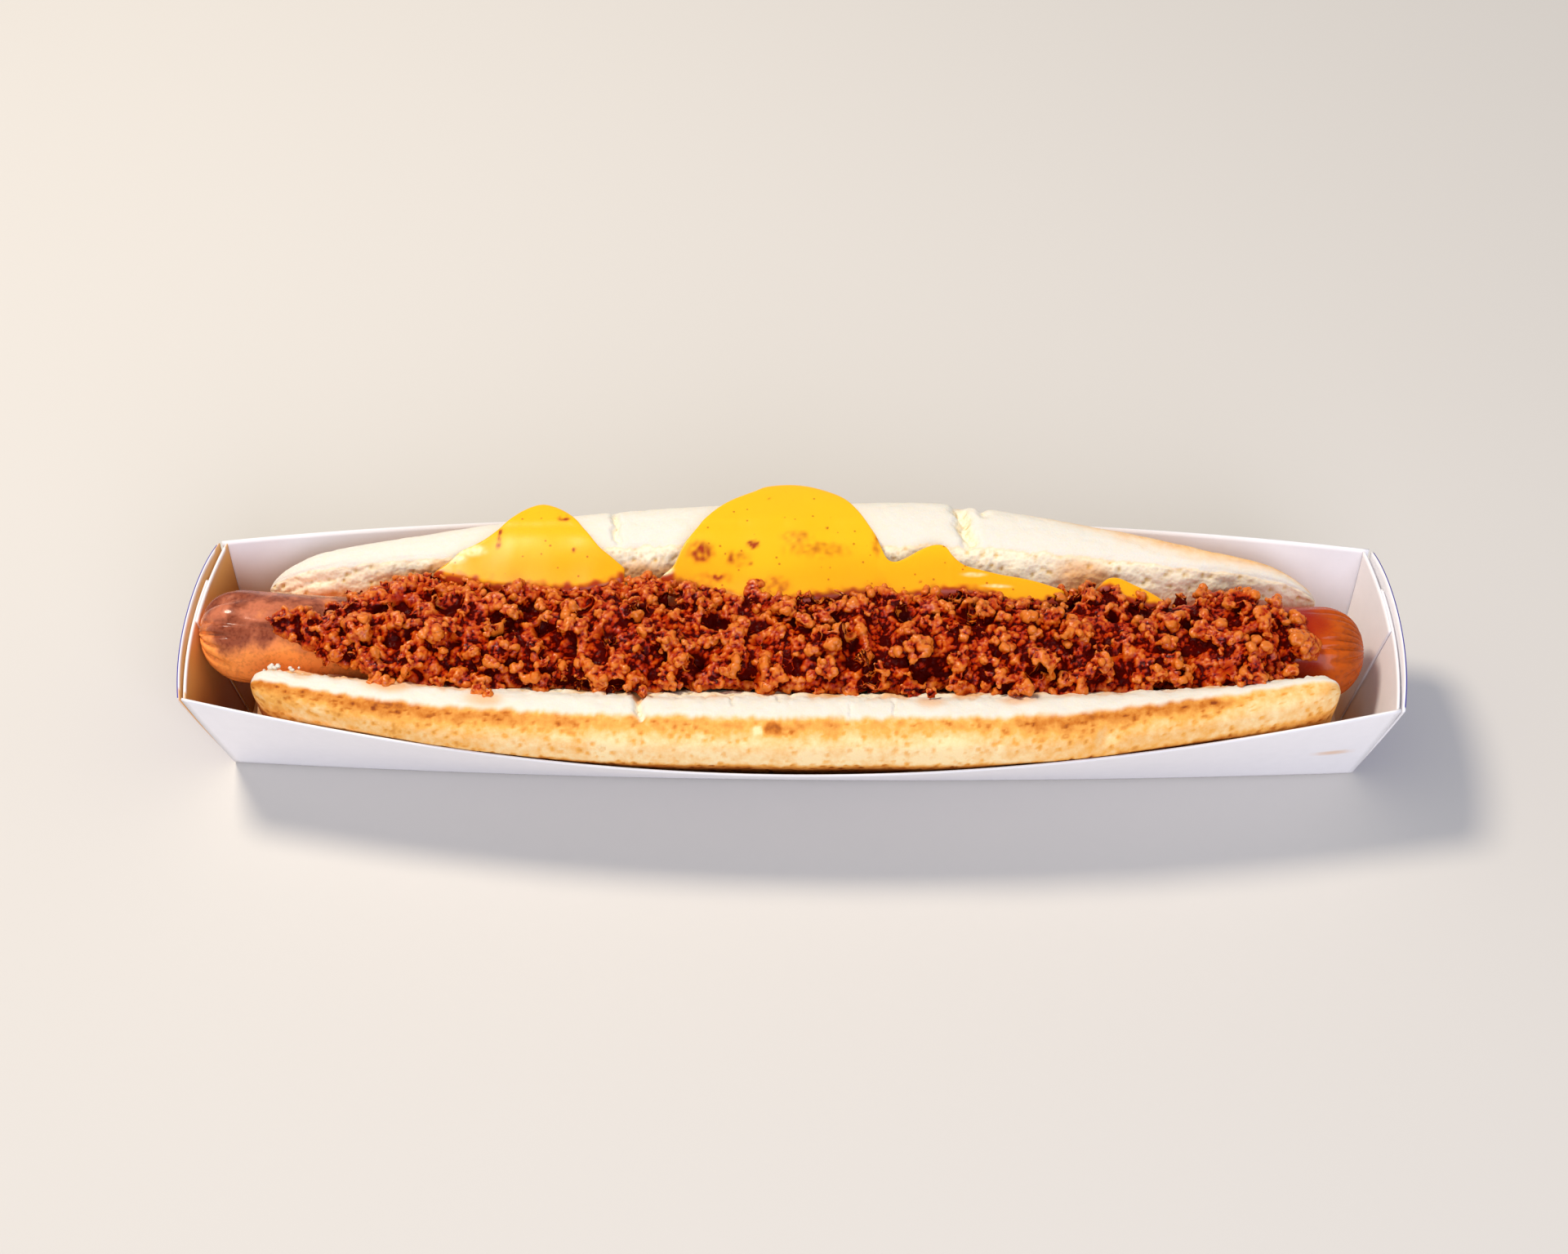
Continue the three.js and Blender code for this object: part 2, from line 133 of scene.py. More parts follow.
# Cell size of the heap's skin, and where it is cut so that no piece's mesh is too heavy
HEAP_CELL = 0.39
HEAP_CUTS = [-1e3, -42.0, 48.0, 1e3]

# Big torn crumbles and deep pits: place along the sausage, angle over the heap, radius
CHUNKS = [
    (-90, 1.87, 4.4), (-131, 0.92, 3.1), (-125, 0.64, 2.7), (-109, 1.8, 4.4), (-78, 2.82, 2.9),
    (-76, 1.66, 3.1), (-72, 1.38, 2.7), (-64, 2.05, 2.4), (-104, 2.75, 2.7), (-109, 2.37, 2.7),
    (-112, 0.64, 3.1), (-100, 0.46, 2.9), (-96, 0.39, 2.7), (-27, 2.12, 4.4), (-31, 1.91, 3.3),
    (-12, 1.62, 2.9), (-16, 1.76, 2.4), (11, 1.91, 3.5), (14, 1.76, 2.7), (7, 2.01, 2.7),
    (10, 2.33, 3.1), (19, 2.15, 3.1), (33, 2.01, 3.8), (43, 2.79, 2.9), (49, 1.31, 3.1),
    (45, 0.95, 2.9), (41, 1.09, 2.7), (-48, 2.65, 2.9), (-44, 2.33, 3.3), (-40, 1.27, 3.3),
    (-56, 1.31, 2.7), (55, 2.61, 4.2), (70, 2.54, 2.4), (65, 2.22, 4.7), (72, 1.76, 3.3),
    (79, 2.22, 3.3), (96, 1.91, 3.1), (97, 2.26, 3.3), (117, 2.51, 4.4), (126, 2.82, 3.1),
    (121, 1.45, 3.8), (67, 1.45, 3.3), (78, 0.92, 2.9), (105, 1.62, 3.1), (91, 1.62, 2.9),
    (-1, 1.24, 2.9), (4, 1.48, 2.9), (-22, 1.2, 2.9),
]
PITS = [
    (-100, 1.2, 2.6), (-88, 1.16, 2.8), (-106, 1.27, 1.6), (-63, 1.66, 2.1), (-56, 1.98, 2.5),
    (-85, 1.98, 1.5), (-76, 1.59, 1.6), (-94, 2.68, 2.1), (-101, 1.94, 1.9), (-54, 1.2, 2.1),
    (-46, 1.73, 1.9), (-18, 1.38, 2.1), (-7, 1.84, 2.0), (-23, 2.22, 2.1), (-7, 1.45, 1.9),
    (17, 1.84, 2.4), (16, 2.15, 2.4), (46, 1.31, 2.1), (35, 2.4, 2.3), (-10, 2.61, 2.1),
    (30, 1.27, 2.1), (63, 2.33, 1.9), (62, 2.61, 1.6), (79, 2.65, 1.9), (83, 2.05, 1.5),
    (110, 2.37, 1.9), (127, 2.37, 1.5), (83, 1.31, 1.4), (100, 2.19, 1.4),
]

# Crumbles that fell on the cheese and on the near half of the bun: place and radius
FALLEN = [
    (-10.5, 6.5, 43.2, 3.1), (-9.0, 9.6, 43.6, 2.9), (-8.4, 12.4, 43.9, 2.2),
    (-18.9, 10.9, 43.2, 1.2), (-104, -24.6, 43.4, 2.4), (-101, -25.4, 43.6, 1.8),
    (-78, -27.4, 43.2, 2.1), (-75, -28.6, 43.4, 1.5), (36, -27.4, 43.4, 1.9),
    (57, -26.5, 43.6, 1.7), (60, -26.2, 43.7, 1.4), (-36.6, -27, 42.4, 1.8),
]

# Cheese: the free edges and the low edges of the two melted sheets, on the plan
CHEESE_THICKNESS = 2.2
CHEESE_LOW_HEIGHT, CHEESE_UNDER_CHILI = 41.4, 3.0
LEFT_EDGE = [
    (-94, 12.5), (-89.5, 15.9), (-87.1, 18.4), (-81.7, 21.4), (-78.3, 24.6), (-74.4, 29.2),
    (-70.7, 32.4), (-66.9, 33.9), (-62.9, 32.7), (-58.6, 29.6), (-54.8, 24.9), (-50.7, 19.4),
    (-46.9, 16.2), (-43.5, 13.5),
]
RIGHT_EDGE = [
    (-34.5, 11), (-32.5, 12.4), (-30.4, 14.5), (-28.2, 19.4), (-26, 22.9), (-23.2, 27.5),
    (-19.5, 32.1), (-15.2, 35.7), (-9.9, 39), (-6.7, 41), (-1.2, 41.9), (4.3, 41.1), (9.8, 38.8),
    (14.2, 35.7), (17.5, 31.6), (20.1, 27.1), (22.5, 22.6), (24, 18.8), (25.5, 16.2), (27.5, 15.6),
    (30, 16.5), (34.7, 19.1), (38, 20.3), (40.6, 20), (42.6, 17.4), (45.4, 15.2), (49.6, 13.9),
    (55, 12.7), (60.3, 11.9), (65.5, 10.5), (71.5, 8.4),
]
CORNER_EDGE = [(80, 9.5), (83, 12), (86, 12.2), (89.5, 10.5), (94, 8), (98, 4.5)]
# Where the chili's far rim lies on the cheese and the bun
CHILI_RIM = [
    (-116, 6), (-108, 9), (-100, 12), (-94, 12.6), (-87.5, 11.1), (-74.3, 8.6), (-57.1, 8.2),
    (-48.6, 9.5), (-44.4, 11.1), (-37, 12.5), (-32, 11.5), (-27.2, 9.6), (-18.6, 7.3),
    (-9.9, 3.8), (-1.5, 4.5), (7, 6.5), (17.6, 7.6), (28.3, 6.4), (38.9, 8.3), (49.5, 7.9),
    (60, 4.5), (68.5, 5.5), (76, 8), (83, 10), (88, 6), (96, 4),
]
# Chili marks on the cheese: place on the plan, half length, half width and strength
STAINS = [
    (-77.2, 20.1, 0.7, 2.2, 0.8), (-77.0, 23.5, 0.6, 0.9, 0.9), (-60.4, 27.7, 1.6, 1.1, 0.9),
    (-56.9, 17.7, 0.7, 0.7, 0.9), (-23.6, 17.1, 3.4, 2.6, 0.9), (-9.9, 19.2, 1.6, 1.0, 1.2),
    (-18.9, 11, 1.1, 0.9, 0.9), (-10.4, 13.7, 0.9, 0.8, 0.8), (-6, 34.8, 0.5, 0.4, 0.9),
    (9.6, 24.4, 0.4, 0.4, 0.9), (6.9, 17.8, 8.5, 2.0, 0.45), (-14, 15.5, 3.4, 2.0, 0.5),
    (1.5, 21.5, 4.0, 1.8, 0.4), (22.5, 20, 1.2, 3.5, 0.6), (34, 10, 0.5, 0.4, 0.8),
    (-20, 10.5, 5, 1.5, 0.4), (-4, 8.5, 4, 2.5, 0.45),
]
# Painted highlights: pale spots on the slices' edges, kept the same way
PAINTED_HIGHLIGHTS = [
    (-84.5, 18, 4, 1.6, 0.8), (-88, 15.5, 2.5, 1.2, 0.7), (-32.5, 12.3, 1.8, 1.0, 0.9),
    (48, 12, 3, 0.6, 0.5), (54, 9, 3.5, 0.5, 0.5),
]


# Small helpers


def linear(hex_colour):
    """An sRGB hex colour as the linear values that shaders take."""
    parts = [int(hex_colour[i : i + 2], 16) / 255 for i in (1, 3, 5)]
    return tuple(p / 12.92 if p <= 0.04045 else ((p + 0.055) / 1.055) ** 2.4 for p in parts)


def colour_prop(name, description, hex_colour):
    return FloatVectorProperty(
        name=name, description=description, subtype="COLOR", size=3, min=0, max=1,
        default=linear(hex_colour),
    )


def add(tree, kind, inputs=None, out=0, stops=(), **settings):
    """Adds a node with its settings and its inputs' values or links, and returns an output."""
    node = tree.nodes.new(kind)
    for i, (position, colour) in enumerate(stops):
        elements = node.color_ramp.elements
        element = elements[i] if i < len(elements) else elements.new(position)
        element.position = position
        element.color = (*colour[:3], 1)
    for name, value in settings.items():
        setattr(node, name, value)
    for name, value in (inputs or {}).items():
        socket = node.inputs[name]
        if isinstance(value, bpy.types.NodeSocket):
            tree.links.new(value, socket)
        elif socket.type == "RGBA":
            socket.default_value = (*value[:3], 1)
        else:
            socket.default_value = value
    return node.outputs[out]


def new_material(name):
    material = bpy.data.materials.new(name)
    material.use_nodes = True
    material.node_tree.nodes.clear()
    return material, material.node_tree


def finish_material(tree, inputs):
    shader = add(tree, "ShaderNodeBsdfPrincipled", inputs)
    target = tree.nodes.new("ShaderNodeOutputMaterial")
    tree.links.new(shader, target.inputs["Surface"])


def smoothstep(value, low, high):
    t = np.clip((value - low) / (high - low), 0, 1)
    return t * t * (3 - 2 * t)


def mix(a, b, t):
    return a + (b - a) * t


def bow(t):
    return 1 - t * t


def wobble(points, size, seed=0.0):
    """Smooth noise from about -1 to 1 at each point, with lumps of about size mm."""
    shift = Vector((seed, seed * 1.7, -seed))
    return np.array([noise.noise(Vector(p) / size + shift) for p in points])


def ridges(points, size, seed=0.0):
    """Noise with winding crests of 1 and valleys that go down to about -1."""
    return 1 - 3.2 * np.abs(wobble(points, size, seed))


def cells(points, size, seed=0.0):
    """Distance to the nearest of scattered centres size mm apart, as a share of size, and a
    number from 0 to 1 for each centre."""
    shift = Vector((seed, -seed, seed * 2.3))
    near = [noise.voronoi(Vector(p) / size + shift) for p in points]
    share = [math.sin(40 * (c[0][0] + 1.3 * c[0][1] + 1.7 * c[0][2])) for _, c in near]
    return np.array([d[0] for d, _ in near]), 0.5 + 0.5 * np.array(share)


def spot(x, y, place):
    """A soft spot on the plan, 1 at its middle."""
    away = ((x - place[0]) / place[2]) ** 2 + ((y - place[1]) / place[3]) ** 2
    return place[4] * np.exp(-(away**2))


def draws_from(seed):
    """A repeatable row of numbers from 0 to 1."""
    state = seed
    while True:
        state = (state * 1664525 + 1013904223) % 2**32
        yield state / 2**32


def stations(start, end, count, spacing):
    """Positions from start to end that lie closer together where spacing(x) is small."""
    fine = np.linspace(start, end, 4000)
    weight = np.concatenate([[0], np.cumsum(1 / spacing((fine[1:] + fine[:-1]) / 2))])
    return np.interp(np.linspace(0, weight[-1], count + 1), weight, fine)


def corners(bm):
    return np.array([v.co for v in bm.verts])


def place_corners(bm, points):
    for vert, point in zip(bm.verts, points):
        vert.co = point


def push(bm, amounts):
    """Moves each corner along its normal, outwards where the amount is above 0."""
    bm.normal_update()
    for vert, amount in zip(bm.verts, amounts):
        vert.co += vert.normal * amount


def paint(bm, name, values):
    """Keeps one number for each corner, for the material to read."""
    layer = bm.verts.layers.float.get(name) or bm.verts.layers.float.new(name)
    for vert, value in zip(bm.verts, values):
        vert[layer] = value


def grid(across, along):
    """A flat sheet of cells, and the place of each corner as two numbers from 0 to 1."""
    bm = bmesh.new()
    bmesh.ops.create_grid(bm, x_segments=across, y_segments=along, size=0.5)
    flat = corners(bm)
    return bm, flat[:, 0] + 0.5, flat[:, 1] + 0.5


def turn_outwards(bm):
    bmesh.ops.recalc_face_normals(bm, faces=bm.faces)
    if bm.calc_volume(signed=True) < 0:
        bmesh.ops.reverse_faces(bm, faces=bm.faces)


def close_skin(bm, weld=0.01):
    """Joins the sheet's meeting edges, closes what is left open and turns faces outwards."""
    bmesh.ops.remove_doubles(bm, verts=bm.verts, dist=weld)
    rims = [e for e in bm.edges if e.is_boundary]
    if rims:
        caps = bmesh.ops.holes_fill(bm, edges=rims, sides=0)["faces"]
        bmesh.ops.triangulate(bm, faces=caps)
    turn_outwards(bm)


def make_piece(name, bm, material, slot, *nodes):
    """Turns a mesh in millimetres into a smooth piece that rides on the body."""
    bmesh.ops.scale(bm, vec=(MM, MM, MM), verts=bm.verts)
    for face in bm.faces:
        face.smooth = True
    mesh = bpy.data.meshes.new(name)
    bm.to_mesh(mesh)
    bm.free()
    piece = bpy.data.objects.new(name, mesh)
    piece.data.materials.append(material)
    bpy.context.scene.collection.objects.link(piece)
    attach(piece, "root")
    if nodes:
        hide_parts(*nodes)
    return piece


# Shapes that several pieces follow


def tray_base(x):
    return BASE_HALF_WIDTH + BASE_BOW * bow(x / BASE_HALF_LENGTH)


def tray_rim(x, side):
    return RIM_HALF_WIDTH + np.where(side > 0, FAR_RIM_BOW, NEAR_RIM_BOW) * bow(x / RIM_HALF_LENGTH)


def tray_height(x, side):
    return np.sqrt(WALL_SLOPE**2 - (tray_rim(x, side) - tray_base(x)) ** 2)


def tray_half_width(x, z, side, paper=0.0):
    height = tray_height(x, side)
    return mix(tray_base(x), tray_rim(x, side), z / height) - paper * WALL_SLOPE / height


def sausage_lift(x):
    return np.where(x < 0, LIFT_LEFT, LIFT_RIGHT) * np.abs(x / LIFT_AT) ** 3


def spline(points, count):
    """A smooth line through the points, cut into count pieces."""
    line = np.array(points, float)
    padded = np.vstack([line[0], line, line[-1]])
    place = np.linspace(0, len(line) - 1, count + 1)
    i = np.minimum(place.astype(int), len(line) - 2)
    t = (place - i)[:, None]
    p0, p1, p2, p3 = (padded[i + k] for k in range(4))
    v0, v1 = (p2 - p0) / 2, (p3 - p1) / 2
    curve = (2 * p1 - 2 * p2 + v0 + v1) * t**3 + (-3 * p1 + 3 * p2 - 2 * v0 - v1) * t**2
    return curve + v0 * t + p1


def bun_section():
    """The bun's outline halfway along: near side, trough, far side and bottom."""
    turn = np.linspace(math.pi, 2 * math.pi, 60)
    trough = np.stack([
        SAUSAGE_Y + TROUGH_RADIUS * np.cos(turn), SAUSAGE_Z + TROUGH_RADIUS * np.sin(turn),
    ], 1)
    line = np.vstack([spline(NEAR_SIDE, 400), trough, spline(FAR_SIDE, 400)])
    return np.vstack([line, line[:1]])


def nearest_on_spine(y, z):
    point = np.stack([y, z], -1)
    best = np.full(point.shape[:-1], np.inf)
    nearest = np.zeros_like(point)
    for a, b in zip(BUN_SPINE[:-1], BUN_SPINE[1:]):
        a, b = np.array(a, float), np.array(b, float)
        t = np.clip(((point - a) @ (b - a)) / ((b - a) @ (b - a)), 0, 1)
        foot = a + t[..., None] * (b - a)
        far = np.linalg.norm(point - foot, axis=-1)
        nearest = np.where((far < best)[..., None], foot, nearest)
        best = np.minimum(best, far)
    return nearest[..., 0], nearest[..., 1]


def near_width(x):
    return 1 - 0.5 * np.abs(x / 136) ** 2.6


def far_width(x):
    past = x - THICKEST_X
    before = 1 - 0.7 * (np.maximum(-past, 0) / 180) ** 2.2
    after = 1 - 0.8 * (np.maximum(past, 0) / 100) ** 1.3
    return np.where(past < 0, before, after)


def bun_point(x, y, z):
    """Where a point of the middle section lies at another place along the bun."""
    half = BUN_LENGTH / 2
    end_length = mix(NEAR_END, FAR_END, smoothstep(y, -6, 16))
    from_end = np.clip((np.abs(x - BUN_X) - half + end_length) / end_length, 0, 1)
    plump = np.sqrt(np.maximum(END_PLUMP, 1 - from_end**2))
    core_y, core_z = nearest_on_spine(y, z)
    across = mix(core_y, y, plump)
    up = mix(core_z, z, plump)
    beside = np.abs(across - SAUSAGE_Y)
    rides = smoothstep(up, 2, 14) * (1 - smoothstep(beside, 14.4, 22))
    near, far = across < NEAR_SEAM, across > FAR_SEAM
    rise = np.where(x < 0, NEAR_RISE_LEFT, NEAR_RISE_RIGHT)
    up = up + np.where(near, rise * smoothstep(up, 18, 40) * (x / half) ** 4, 0)
    across = np.where(near, NEAR_SEAM + (across - NEAR_SEAM) * near_width(x), across)
    up = up - np.where(far, FAR_DROP * smoothstep(up, 20, 47) * (x / half) ** 2, 0)
    across = np.where(far, FAR_SEAM + (across - FAR_SEAM) * far_width(x), across)
    up = up + rides * sausage_lift(x)
    room = tray_half_width(x, up, across, PAPER) - 0.5
    inside = up < tray_height(x, across) + 1
    return np.where(inside, np.clip(across, -room, room), across), up


BUN_TOP_Y = np.linspace(4, 43, 118)
BUN_TOP_X = np.linspace(-100, 100, 101)


def bun_top_table():
    """Height of the bun's far half over a lattice of the plan."""
    section = bun_section()[::4]
    table = np.zeros((len(BUN_TOP_X), len(BUN_TOP_Y)))
    for row, x in enumerate(BUN_TOP_X):
        y, z = bun_point(np.full(len(section), x), section[:, 0], section[:, 1])
        for (y0, z0), (y1, z1) in zip(zip(y[:-1], z[:-1]), zip(y[1:], z[1:])):
            if y0 == y1:
                continue
            t = (BUN_TOP_Y - y0) / (y1 - y0)
            on = (t >= 0) & (t <= 1)
            table[row, on] = np.maximum(table[row, on], z0 + (z1 - z0) * t[on])
    return table


BUN_TOP = bun_top_table()


def bun_top(x, y):
    """Height of the bun's far half over places on the plan."""
    column = np.clip((x - BUN_TOP_X[0]) / (BUN_TOP_X[1] - BUN_TOP_X[0]), 0, len(BUN_TOP_X) - 1.001)
    row = np.clip((y - BUN_TOP_Y[0]) / (BUN_TOP_Y[1] - BUN_TOP_Y[0]), 0, len(BUN_TOP_Y) - 1.001)
    i, j = column.astype(int), row.astype(int)
    s, t = column - i, row - j
    low = mix(BUN_TOP[i, j], BUN_TOP[i, j + 1], t)
    return mix(low, mix(BUN_TOP[i + 1, j], BUN_TOP[i + 1, j + 1], t), s)


def cheese_rest(x, y):
    """The level a cheese slice keeps where the bun under it falls away."""
    crest = bun_top(x, np.full_like(x, 26.0)) + 0.4
    over_filling = mix(CHEESE_LOW_HEIGHT, crest, smoothstep(y, 5, 24))
    over_edge = crest + 0.5 - 0.012 * np.maximum(0, y - 32) ** 2
    return np.where(y < 26, over_filling, over_edge)


def edge_line(points, x):
    """The y of a smooth line through points, at each x."""
    line = spline(points, 40 * len(points))
    return np.interp(x, line[:, 0], line[:, 1])


def heap_half_width(x):
    tongue = smoothstep(x, CHILI_LEFT, -92)
    tail = 1 - smoothstep(x, 114, CHILI_RIGHT + 3)
    return mix(HEAP_END_HALF_WIDTH, HEAP_HALF_WIDTH, tongue * tail)


def heap_middle(x):
    return -8.7 + 1.5 * smoothstep(x, CHILI_LEFT, -100)


def heap_rise(x):
    tongue = smoothstep(x, CHILI_LEFT, -88)
    tail = 1 - smoothstep(x, 116, CHILI_RIGHT + 3)
    return mix(HEAP_END_RISE, HEAP_RISE, tongue * tail)


def heap_point(x, angle, scale=1.0):
    """A point on the heap's skin: angle 0 is its far flank and half a turn its near flank."""
    up = np.sin(angle)
    # The far flank is the fuller one, because it leans on the cheese
    far = np.cos(angle) > 0
    up = np.where(far & (up > 0), np.abs(up) ** 0.7, up)
    swell = 1 + 0.05 * np.sin(x / 9) + 0.04 * np.sin(x / 4.1 + 2 * angle)
    y = heap_middle(x) + heap_half_width(x) * np.cos(angle) * swell * scale
    reach = np.where(up > 0, heap_rise(x) * swell, HEAP_SINK)
    return x, y, SAUSAGE_Z + sausage_lift(x) + HEAP_FLANK + reach * up * scale


# Sizes and colours a user would change


class TraySettings(bpy.types.PropertyGroup):
    paper: colour_prop("Paper", "White paperboard", "#F1EEF1")
    # Greased and oily also colour the painted warm shade inside the tray's ends; oily is reached
    # only by that painted shade
    greased_and_shaded: colour_prop("Greased", "Paperboard that a little fat has soaked", "#E0A254")
    oily: colour_prop("Oily", "Paperboard that much fat has soaked", "#944A06")
    printed: colour_prop("Print", "Plain field of colour on the end panels", "#3A30A0")


class BunSettings(bpy.types.PropertyGroup):
    skin: colour_prop("Skin", "Pale soft skin", "#E2DDD2")
    cream: colour_prop("Cream", "Lightest crust", "#F9DCA6")
    # Brown and baked also colour the painted shade low on the near crust at the tray's rim
    crust: colour_prop("Crust", "Golden crust", "#F0AC52")
    brown: colour_prop("Brown", "Well browned crust", "#C4701E")
    baked: colour_prop("Baked", "Darkest baked edge", "#8A3E0C")
    crumb: colour_prop("Crumb", "Cut crumb", "#F6EBD0")
    hole: colour_prop("Hole", "Shade inside the crumb's holes", "#DAB878")
    soaked: colour_prop("Soaked", "Bread that chili fat has soaked", "#E49A38")


class SausageSettings(bpy.types.PropertyGroup):
    skin: colour_prop("Skin", "Griddled casing at the right end", "#CC5A08")
    left: colour_prop("Left", "Paler casing at the left end", "#FC9A4A")
    glaze: colour_prop("Glaze", "Film of chili sauce at the right end", "#9A1E02")
    charred: colour_prop("Charred", "Specks and patches from the griddle", "#702C14")
    blush: colour_prop("Blush", "Smoked top of the left end", "#C26E4C")


class ChiliSettings(bpy.types.PropertyGroup):
    # The ramp from sauce to lit also paints shade into the heap's hollows and light onto what
    # stands out
    meat: colour_prop("Meat", "Crumbles of meat", "#BC4606")
    lit: colour_prop("Lit", "Drier tops of the crumbles", "#D6701C")
    stewed: colour_prop("Stewed", "Redder crumbles, soaked through", "#9E1E02")
    sauce: colour_prop("Sauce", "Thin red sauce between the crumbles", "#440300")
    grain: FloatProperty(
        name="Grain", description="Size of the meat's fine grain, in millimetres",
        default=1.1, min=0.4, max=3,
    )
    seed: IntProperty(name="Seed", description="Picks another heap of crumbles", default=20377)


class CheeseSettings(bpy.types.PropertyGroup):
    cheese: colour_prop("Cheese", "Melted slice where it lies free", "#FBB80C")
    low: colour_prop("Low", "Deeper yellow where it runs under the chili", "#F9A805")
    oily: colour_prop("Oily", "Rim that the chili's fat has dyed", "#A83204")
    stain: colour_prop("Stain", "Chili specks and smears", "#9E2C04")
    # Colour of the painted highlights on the slices' edges
    painted_highlight: colour_prop("Milky", "Waxy pale places on the edge", "#FBF0BE")


class StageSettings(bpy.types.PropertyGroup):
    floor: colour_prop("Floor", "Plain pale floor", "#CFCBC6")
    key: FloatProperty(name="Key light", description="Power in watts", default=12.5, min=0)
    fill: FloatProperty(name="Fill light", description="Power in watts", default=10.5, min=0)


# Tray


def tray_wall_sheet():
    """The long walls and the floor between them: one sheet, folded along two lines."""
    bm, u, v = grid(160, 90)
    near = v < WALL_SHARE
    far = v > 1 - WALL_SHARE
    up = np.where(near, WALL_SHARE - v, np.where(far, v - 1 + WALL_SHARE, 0))
    level = up / WALL_SHARE
    side = np.where(v < 0.5, -1.0, 1.0)
    x = (2 * u - 1) * mix(BASE_HALF_LENGTH, RIM_HALF_LENGTH, level)
    z = level * tray_height(x, side)
    y = side * tray_half_width(x, z, side)
    floor = (v - 0.5) / (0.5 - WALL_SHARE)
    y = np.where(near | far, y, floor * tray_base(x))
    # Stiff paper still waves a little between its folds
    flat = np.stack([x, y, z], 1)
    wave = 0.3 * wobble(flat * (1, 0.3, 0.3), 38, 2.0) + 0.07 * wobble(flat, 11, 4.0)
    y += wave * 4 * level * (1 - level)
    place_corners(bm, np.stack([x, y, z], 1))
    return bm


def tray_end_sheet(side, lower, upper, top, near_edge, far_edge, corner_drop=0.0):
    """One upright sheet at an end, from near_edge to far_edge as shares of its half width."""
    bm, u, v = grid(44, 36)
    half_width = mix(BASE_HALF_WIDTH, RIM_HALF_WIDTH, v) - PANEL_INSET
    y = mix(near_edge, far_edge, u) * half_width
    bulge = END_BOW * v * bow(y / (RIM_HALF_WIDTH + PAPER))
    x = mix(lower, upper, v) + bulge
    z = v * (top - corner_drop * np.abs(y / RIM_HALF_WIDTH) ** 4)
    place_corners(bm, np.stack([side * x, y, np.maximum(z, 0.35)], 1))
    return bm


def join_sheet(bm, sheet, side, printed=False):
    """Gives a sheet its thickness inwards and adds it to bm. side is the way it faces."""
    bmesh.ops.recalc_face_normals(sheet, faces=sheet.faces)
    facing = sum(f.normal.dot(side(f.calc_center_median())) for f in sheet.faces)
    if facing < 0:
        bmesh.ops.reverse_faces(sheet, faces=sheet.faces)
    geometry = [*sheet.verts, *sheet.edges, *sheet.faces]
    bmesh.ops.solidify(sheet, geom=geometry, thickness=PAPER)
    sheet.normal_update()
    points = corners(sheet)
    outward = np.array([v.normal.dot(side(v.co)) for v in sheet.verts])
    # The print stops short of the panel's upright edges
    across = np.abs(points[:, 1])
    level = points[:, 2] / (PANEL_HEIGHT - PANEL_CORNER_DROP * (across / RIM_HALF_WIDTH) ** 4)
    inked = across < PRINT_SHARE * (mix(BASE_HALF_WIDTH, RIM_HALF_WIDTH, level) - PANEL_INSET)
    paint(sheet, "print", (outward > 0.3) * printed * inked)
    pour_into(bm, sheet)


def make_tray(settings):
    bm = bmesh.new()
    # New layers have to be there before the first sheet is poured in
    paint(bm, "print", [])
    join_sheet(bm, tray_wall_sheet(), lambda p: Vector((0, p.y, -12)).normalized())
    top = float(tray_height(RIM_HALF_LENGTH, 1))
    for end in (-1, 1):
        away = Vector((end, 0, 0))
        inner = (BASE_HALF_LENGTH - 0.65, RIM_HALF_LENGTH - 0.65)
        inmost = (BASE_HALF_LENGTH - 1.3, RIM_HALF_LENGTH - 1.3)
        outer = (BASE_HALF_LENGTH + 0.05, PANEL_HALF_LENGTH - 0.1)
        sheets = [
            (tray_end_sheet(end, *inner, top - 0.3, -1, 0.5), False),
            (tray_end_sheet(end, *inmost, top - 0.4, -0.03, 0.99), False),
            (tray_end_sheet(end, *outer, PANEL_HEIGHT, -1, 1, PANEL_CORNER_DROP), True),
        ]
        for sheet, printed in sheets:
            join_sheet(bm, sheet, lambda p: away, printed)
    points = corners(bm)
    x, y, z = points.T
    bm.normal_update()
    inward = np.array([-v.normal.x * v.co.x - v.normal.y * v.co.y for v in bm.verts]) > 0
    # Painted warm shade darkens the left end's inside low down, most on its upright flaps, and a
    # grease smear marks the near wall's outside at the right
    uneven = z + 2.5 * wobble(points, 9, 1.0)
    flap = np.abs([v.normal.x for v in bm.verts]) > 0.6
    soaked = inward * mix(
        0.5 * smoothstep(-x, 122, 150) * (1 - smoothstep(uneven, 12, 40)),
        smoothstep(-x, 100, 120) * (1 - 0.6 * smoothstep(uneven, 14, 44)), flap,
    )
    # Painted shade inside the right end, low down
    soaked += 0.36 * inward * smoothstep(x, 132, 150) * (1 - smoothstep(uneven, 3, 20))
    # Painted light: the near half of the floor keeps only half of the painted shade, as a lit strip
    soaked *= 1 - 0.5 * (z < 2.5) * smoothstep(-y, -1, 2)
    smear = spot(x, z, (141, 16.5, 4.5, 1.3, 0.28)) * (y < 0) * ~inward
    paint(bm, "grease_and_shade", np.clip(soaked + smear, 0, 1))
    return make_piece("folded_tray", bm, paper_material(settings), "tray_paper", "tray")


